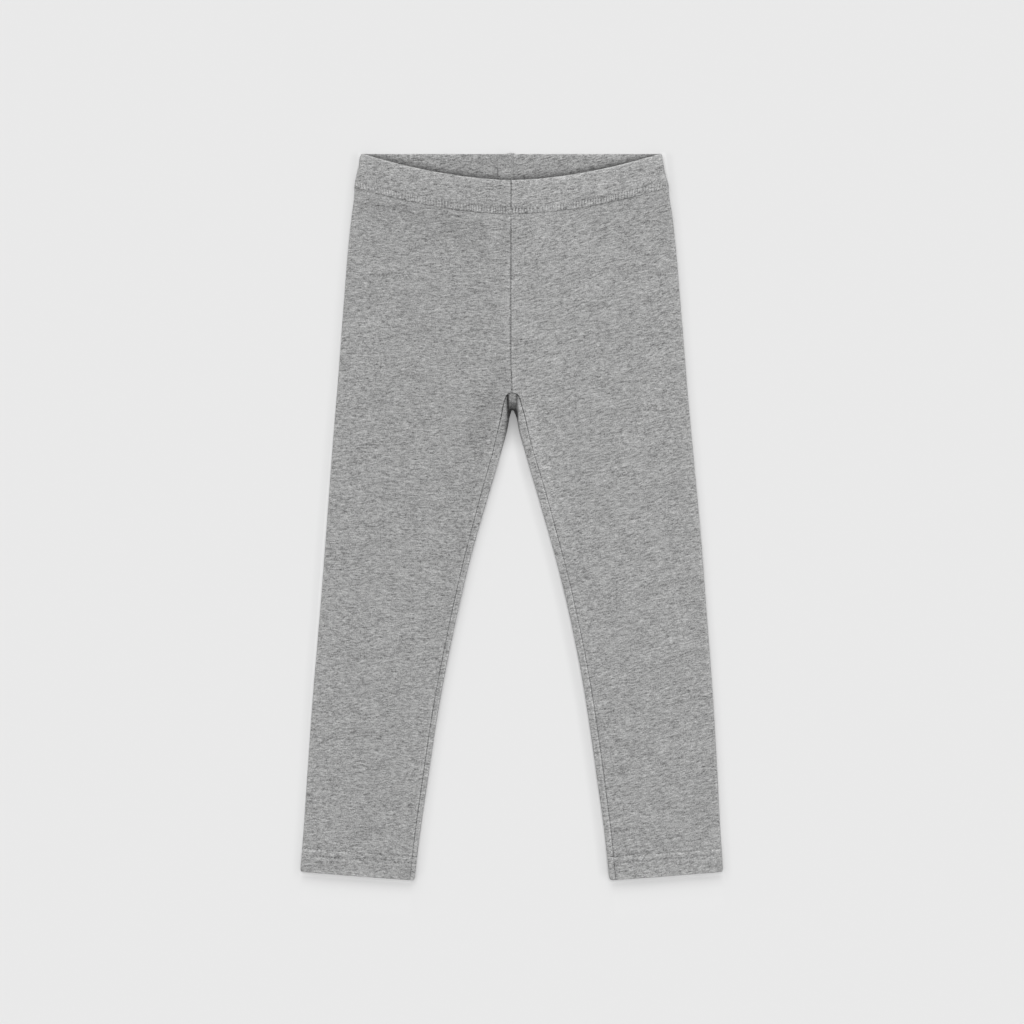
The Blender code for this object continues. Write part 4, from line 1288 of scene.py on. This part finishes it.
def heather(name, grey, contrast=1.0):
    """Melange jersey: pale and dark fibres spun together, knitted, washed and slightly fuzzy."""
    nodes = Nodes(name)
    place = nodes.place
    attributes = [
        nodes.add("ShaderNodeAttribute", attribute_name=key, attribute_type="GEOMETRY")
        for key in PAINTS
    ]
    cloth_shade, seam_dark, seam_pull, seam_run = (made.outputs["Fac"] for made in attributes)
    x, y, z = nodes.parts(place)
    on_left = nodes.math("GREATER_THAN", x, -CENTRE_SHIFT)
    to_left = nodes.math("MAXIMUM", x, 0.0)
    slanted = nodes.times_add(to_left, LEFT_SLANT, nodes.times_add(x, SLANT, y))
    slanted = nodes.times_add(on_left, LEFT_PANEL_SHIFT, slanted)
    laid = nodes.add("ShaderNodeCombineXYZ", {"X": x, "Y": slanted, "Z": z}).outputs[0]
    shift = nodes.times_add(nodes.noise(laid, (16, 13, 13), 1.0, seed=3.1), 3.0, -1.5)
    grain = nodes.noise(laid, (1.0, 0.82, 0.82), 2.0, 0.66, seed=1.7)
    fleck = nodes.noise(laid, (2.9, 1.3, 1.3), 0.0, seed=8.8)
    streak = nodes.noise(laid, (6.0, 1.8, 1.8), 2.0, 0.6, seed=5.3, shift=shift)
    dash = nodes.noise(laid, (4.0, 1.2, 1.2), 1.0, seed=9.9, shift=shift)
    cloud = nodes.noise(place, (20, 10, 10), 2.0, seed=7.7)
    total = 0.0
    for part, span in ((grain, 2.14), (fleck, 0.58), (streak, 0.88), (dash, 0.84), (cloud, 0.26)):
        total = nodes.plus(total, nodes.times_add(part, span * contrast, -span * contrast / 2))

    worn = nodes.noise(place, (9, 9, 9), 2.0, seed=4.4)
    beat = nodes.sine(nodes.times_add(worn, 1.4, seam_run), 1)
    strength = nodes.times_add(beat, 0.32, nodes.times_add(worn, 1.3, -0.05))
    seam = nodes.minus(1.0, nodes.times(seam_dark, strength))
    value = nodes.times(nodes.plus(total, 1.0), cloth_shade)
    value = nodes.math("MAXIMUM", nodes.times(nodes.times(value, seam), grey), DARKEST)

    knit = nodes.times(nodes.sine(x, WALE), nodes.sine(y, COURSE))
    height = nodes.times(nodes.times(beat, seam_pull), 0.10)
    for part, share in ((streak, 0.95), (dash, 0.55), (fleck, 0.25), (grain, 0.40), (knit, 0.02)):
        height = nodes.times_add(part, share, height)
    return nodes.finish((value, value, nodes.times(value, 0.996)), {
        "Normal": nodes.bump(height, 1.0, 0.9 * MM), "Roughness": 0.94,
        "Specular IOR Level": 0.18, "Sheen Weight": 0.06, "Sheen Roughness": 0.6,
    })


def thread_material(name, grey):
    nodes = Nodes(name)
    fibre = nodes.noise(nodes.place, (0.35, 0.35, 0.35), 2.0, 0.6, seed=2.2)
    stretch = nodes.noise(nodes.place, (13, 13, 13), 2.0, seed=6.6)
    value = nodes.times_add(fibre, 0.5, nodes.times_add(stretch, 1.6, -0.05))
    return nodes.finish((nodes.times(value, grey),) * 3, {
        "Normal": nodes.bump(fibre, 0.6, 0.08 * MM), "Roughness": 0.75, "Sheen Weight": 0.1,
    })


def floor_material():
    """Pale floor with a painted soft shadow round the cloth, deepest where the legs meet, and
    painted light right beside some edges.
    """
    nodes = Nodes("pale_floor")
    x, y, _ = nodes.parts(nodes.place)
    out, drop = nodes.math("ABSOLUTE", x), nodes.minus(LENGTH / 2, y)
    length = LENGTH / MM
    hem_ends = INNER_EDGE[-1][1], OUTER_EDGE[-1][1], LENGTH, LENGTH - HEM_SLANT
    beyond_side = nodes.minus(out, nodes.table(drop, OUTER_EDGE))
    beyond_inner = nodes.minus(nodes.table(drop, INNER_EDGE), out)
    beyond_hem = nodes.minus(drop, nodes.ramp(out, *hem_ends, "LINEAR"))
    above_hem = nodes.ramp(drop, length - 9, length + 2, 1.0, 0.0)
    on_side = nodes.times(above_hem, nodes.ramp(drop, -4, 3, 0.0, 1.0))
    below_leg = nodes.times(
        nodes.ramp(beyond_side, -4, 1, 1.0, 0.0), nodes.ramp(beyond_inner, -4, 0.5, 1.0, 0.0)
    )
    inner_contact = nodes.ramp(x, -5, 5, 0.06, -0.05)
    inner_shade = nodes.ramp(x, -5, 5, -0.045, -0.090)
    near_crotch = nodes.times(
        nodes.ramp(drop, 218, 232, 0.0, 1.0), nodes.ramp(drop, 250, 275, 1.0, 0.0)
    )
    above_waist = nodes.ramp(out, 120, 124, 1.0, 0.0)
    shades = [
        # distance, at contact, further out, reach of contact, start and end of the fading, where
        (beyond_side, 0.03, -0.042, 1.6, 3.0, 8.0, on_side),
        (beyond_inner, inner_contact, inner_shade, 1.6, 3.0, 9.5, above_hem),
        (beyond_inner, -0.05, -0.05, 1.6, 3.0, 9.5, near_crotch),
        (beyond_hem, 0.395, -0.038, 4.9, 5.5, 14.0, below_leg),
        (beyond_hem, 0.0, 0.012, 11.0, 20.0, 36.0, below_leg),
        (nodes.times(drop, -1.0), 0.08, 0.0, 2.0, 4.0, 5.0, above_waist),
    ]
    places = {0: nodes.place, 1: CROTCH_PLACE}
    distance = nodes.add("ShaderNodeVectorMath", places, operation="DISTANCE").outputs["Value"]
    greys = CROTCH_SHADE * FLOOR_GREY, FLOOR_GREY
    value = nodes.ramp(distance, 0.0, CROTCH_SHADE_REACH, *greys)
    for distance, contact, further, reach, fade_from, fade_to, where in shades:
        change = nodes.ramp(distance, 0.0, reach, contact, further)
        change = nodes.times(change, nodes.ramp(distance, fade_from, fade_to, 1.0, 0.0))
        change = nodes.times(change, nodes.ramp(distance, -3, -2, 0.0, 1.0))
        value = nodes.times(value, nodes.times_add(change, where, 1.0))
    return nodes.finish((value,) * 3, {"Roughness": 1.0, "Specular IOR Level": 0.0})


# Stage, light and camera
FLOOR_GREY = 0.711
FLOOR_HALF = 6.0
CROTCH_PLACE = (0.0, LENGTH / 2 - CROTCH_FOLD[0].drop * MM, 0.0)
CROTCH_SHADE, CROTCH_SHADE_REACH = 0.46, 38  # share of the floor's grey there, and millimetres
SKY_GREY = 0.56
PHOTO_WIDTH = 0.8192  # of what the picture shows at the height of CLOTH_TOP
PHOTO_CENTRE_Y = 4 * MM
LENS, SENSOR = 85.0, 36.0
CLOTH_TOP = 3.5 * MM


def make_stage():
    corners = np.array([(-1, -1, 0), (1, -1, 0), (1, 1, 0), (-1, 1, 0)]) * FLOOR_HALF
    floor = mesh_object("floor", corners, [(0, 1, 2, 3)], floor_material())
    floor.location.z = -0.05 * MM
    floor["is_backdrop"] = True


def sun(name, direction, share, softness):
    """Distant light from a direction.  share is what it adds to a level white surface."""
    x, y, z = direction
    light = bpy.data.lights.new(name, "SUN")
    light.energy = share * math.pi * math.sqrt(x * x + y * y + z * z) / z
    light.angle = math.radians(softness)
    turn = (math.atan2(math.hypot(x, y), z), 0, math.atan2(x, -y))
    new_object(name, light).rotation_euler = turn


def light_scene():
    world = bpy.data.worlds.new("studio")
    world.use_nodes = True
    background = world.node_tree.nodes["Background"]
    background.inputs["Color"].default_value = (SKY_GREY, SKY_GREY, SKY_GREY, 1)
    bpy.context.scene.world = world
    sun("overhead", (0.0, 0.0, 1.0), 0.26, 70)
    sun("key", (-0.14, 1.0, 0.72), 0.33, 62)
    bpy.context.scene.view_settings.view_transform = "Standard"


def make_camera():
    data = bpy.data.cameras.new("camera")
    data.lens, data.sensor_width = LENS, SENSOR
    data.clip_start, data.clip_end = 0.05, 50
    camera = new_object("camera", data)
    camera.location = (0, PHOTO_CENTRE_Y, CLOTH_TOP + PHOTO_WIDTH / SENSOR * LENS)
    bpy.context.scene.camera = camera


def stand_for(solid, slot, cloth, *sewing):
    """Puts a piece of cloth in the place of a solid, with the sewing on it."""
    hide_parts(solid)
    for piece in (cloth, *sewing):
        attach(piece, "root")


def dress():
    jersey = heather("heather_jersey", 0.306)
    banded = heather("heather_jersey_band", 0.316, 1.07)
    thread = thread_material("grey_thread", 0.33)
    for side, word in SIDES:
        leg = leg_cloth(f"leg_{word}_cloth", side, jersey)
        stand_for(f"leg_{word}", "jersey", leg)
        hem = hem_cloth(f"hem_{word}_cloth", side, jersey)
        stitches = hem_thread(f"hem_{word}_thread", side, thread)
        stand_for(f"hem_{word}", "jersey_doubled", hem, stitches)
        band = waistband_cloth(f"waistband_{word}_cloth", side, banded)
        cover = cover_thread(f"waistband_{word}_thread", side, thread)
        stand_for(f"waistband_{word}", "jersey_doubled", band, cover)
    allowance = allowance_cloth("seam_allowance_back_cloth", banded)
    stand_for("seam_allowance_back", "jersey_doubled", allowance)


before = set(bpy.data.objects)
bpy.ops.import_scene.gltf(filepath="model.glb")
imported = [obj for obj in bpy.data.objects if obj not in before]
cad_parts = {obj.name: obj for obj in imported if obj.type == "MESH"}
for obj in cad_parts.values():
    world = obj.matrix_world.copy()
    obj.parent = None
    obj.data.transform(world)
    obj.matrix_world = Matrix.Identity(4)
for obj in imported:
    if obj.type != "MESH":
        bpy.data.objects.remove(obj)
cad_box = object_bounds()
make_camera()
make_stage()
light_scene()
dress()
[[list(corner) for corner in box] for box in (cad_box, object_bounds())]
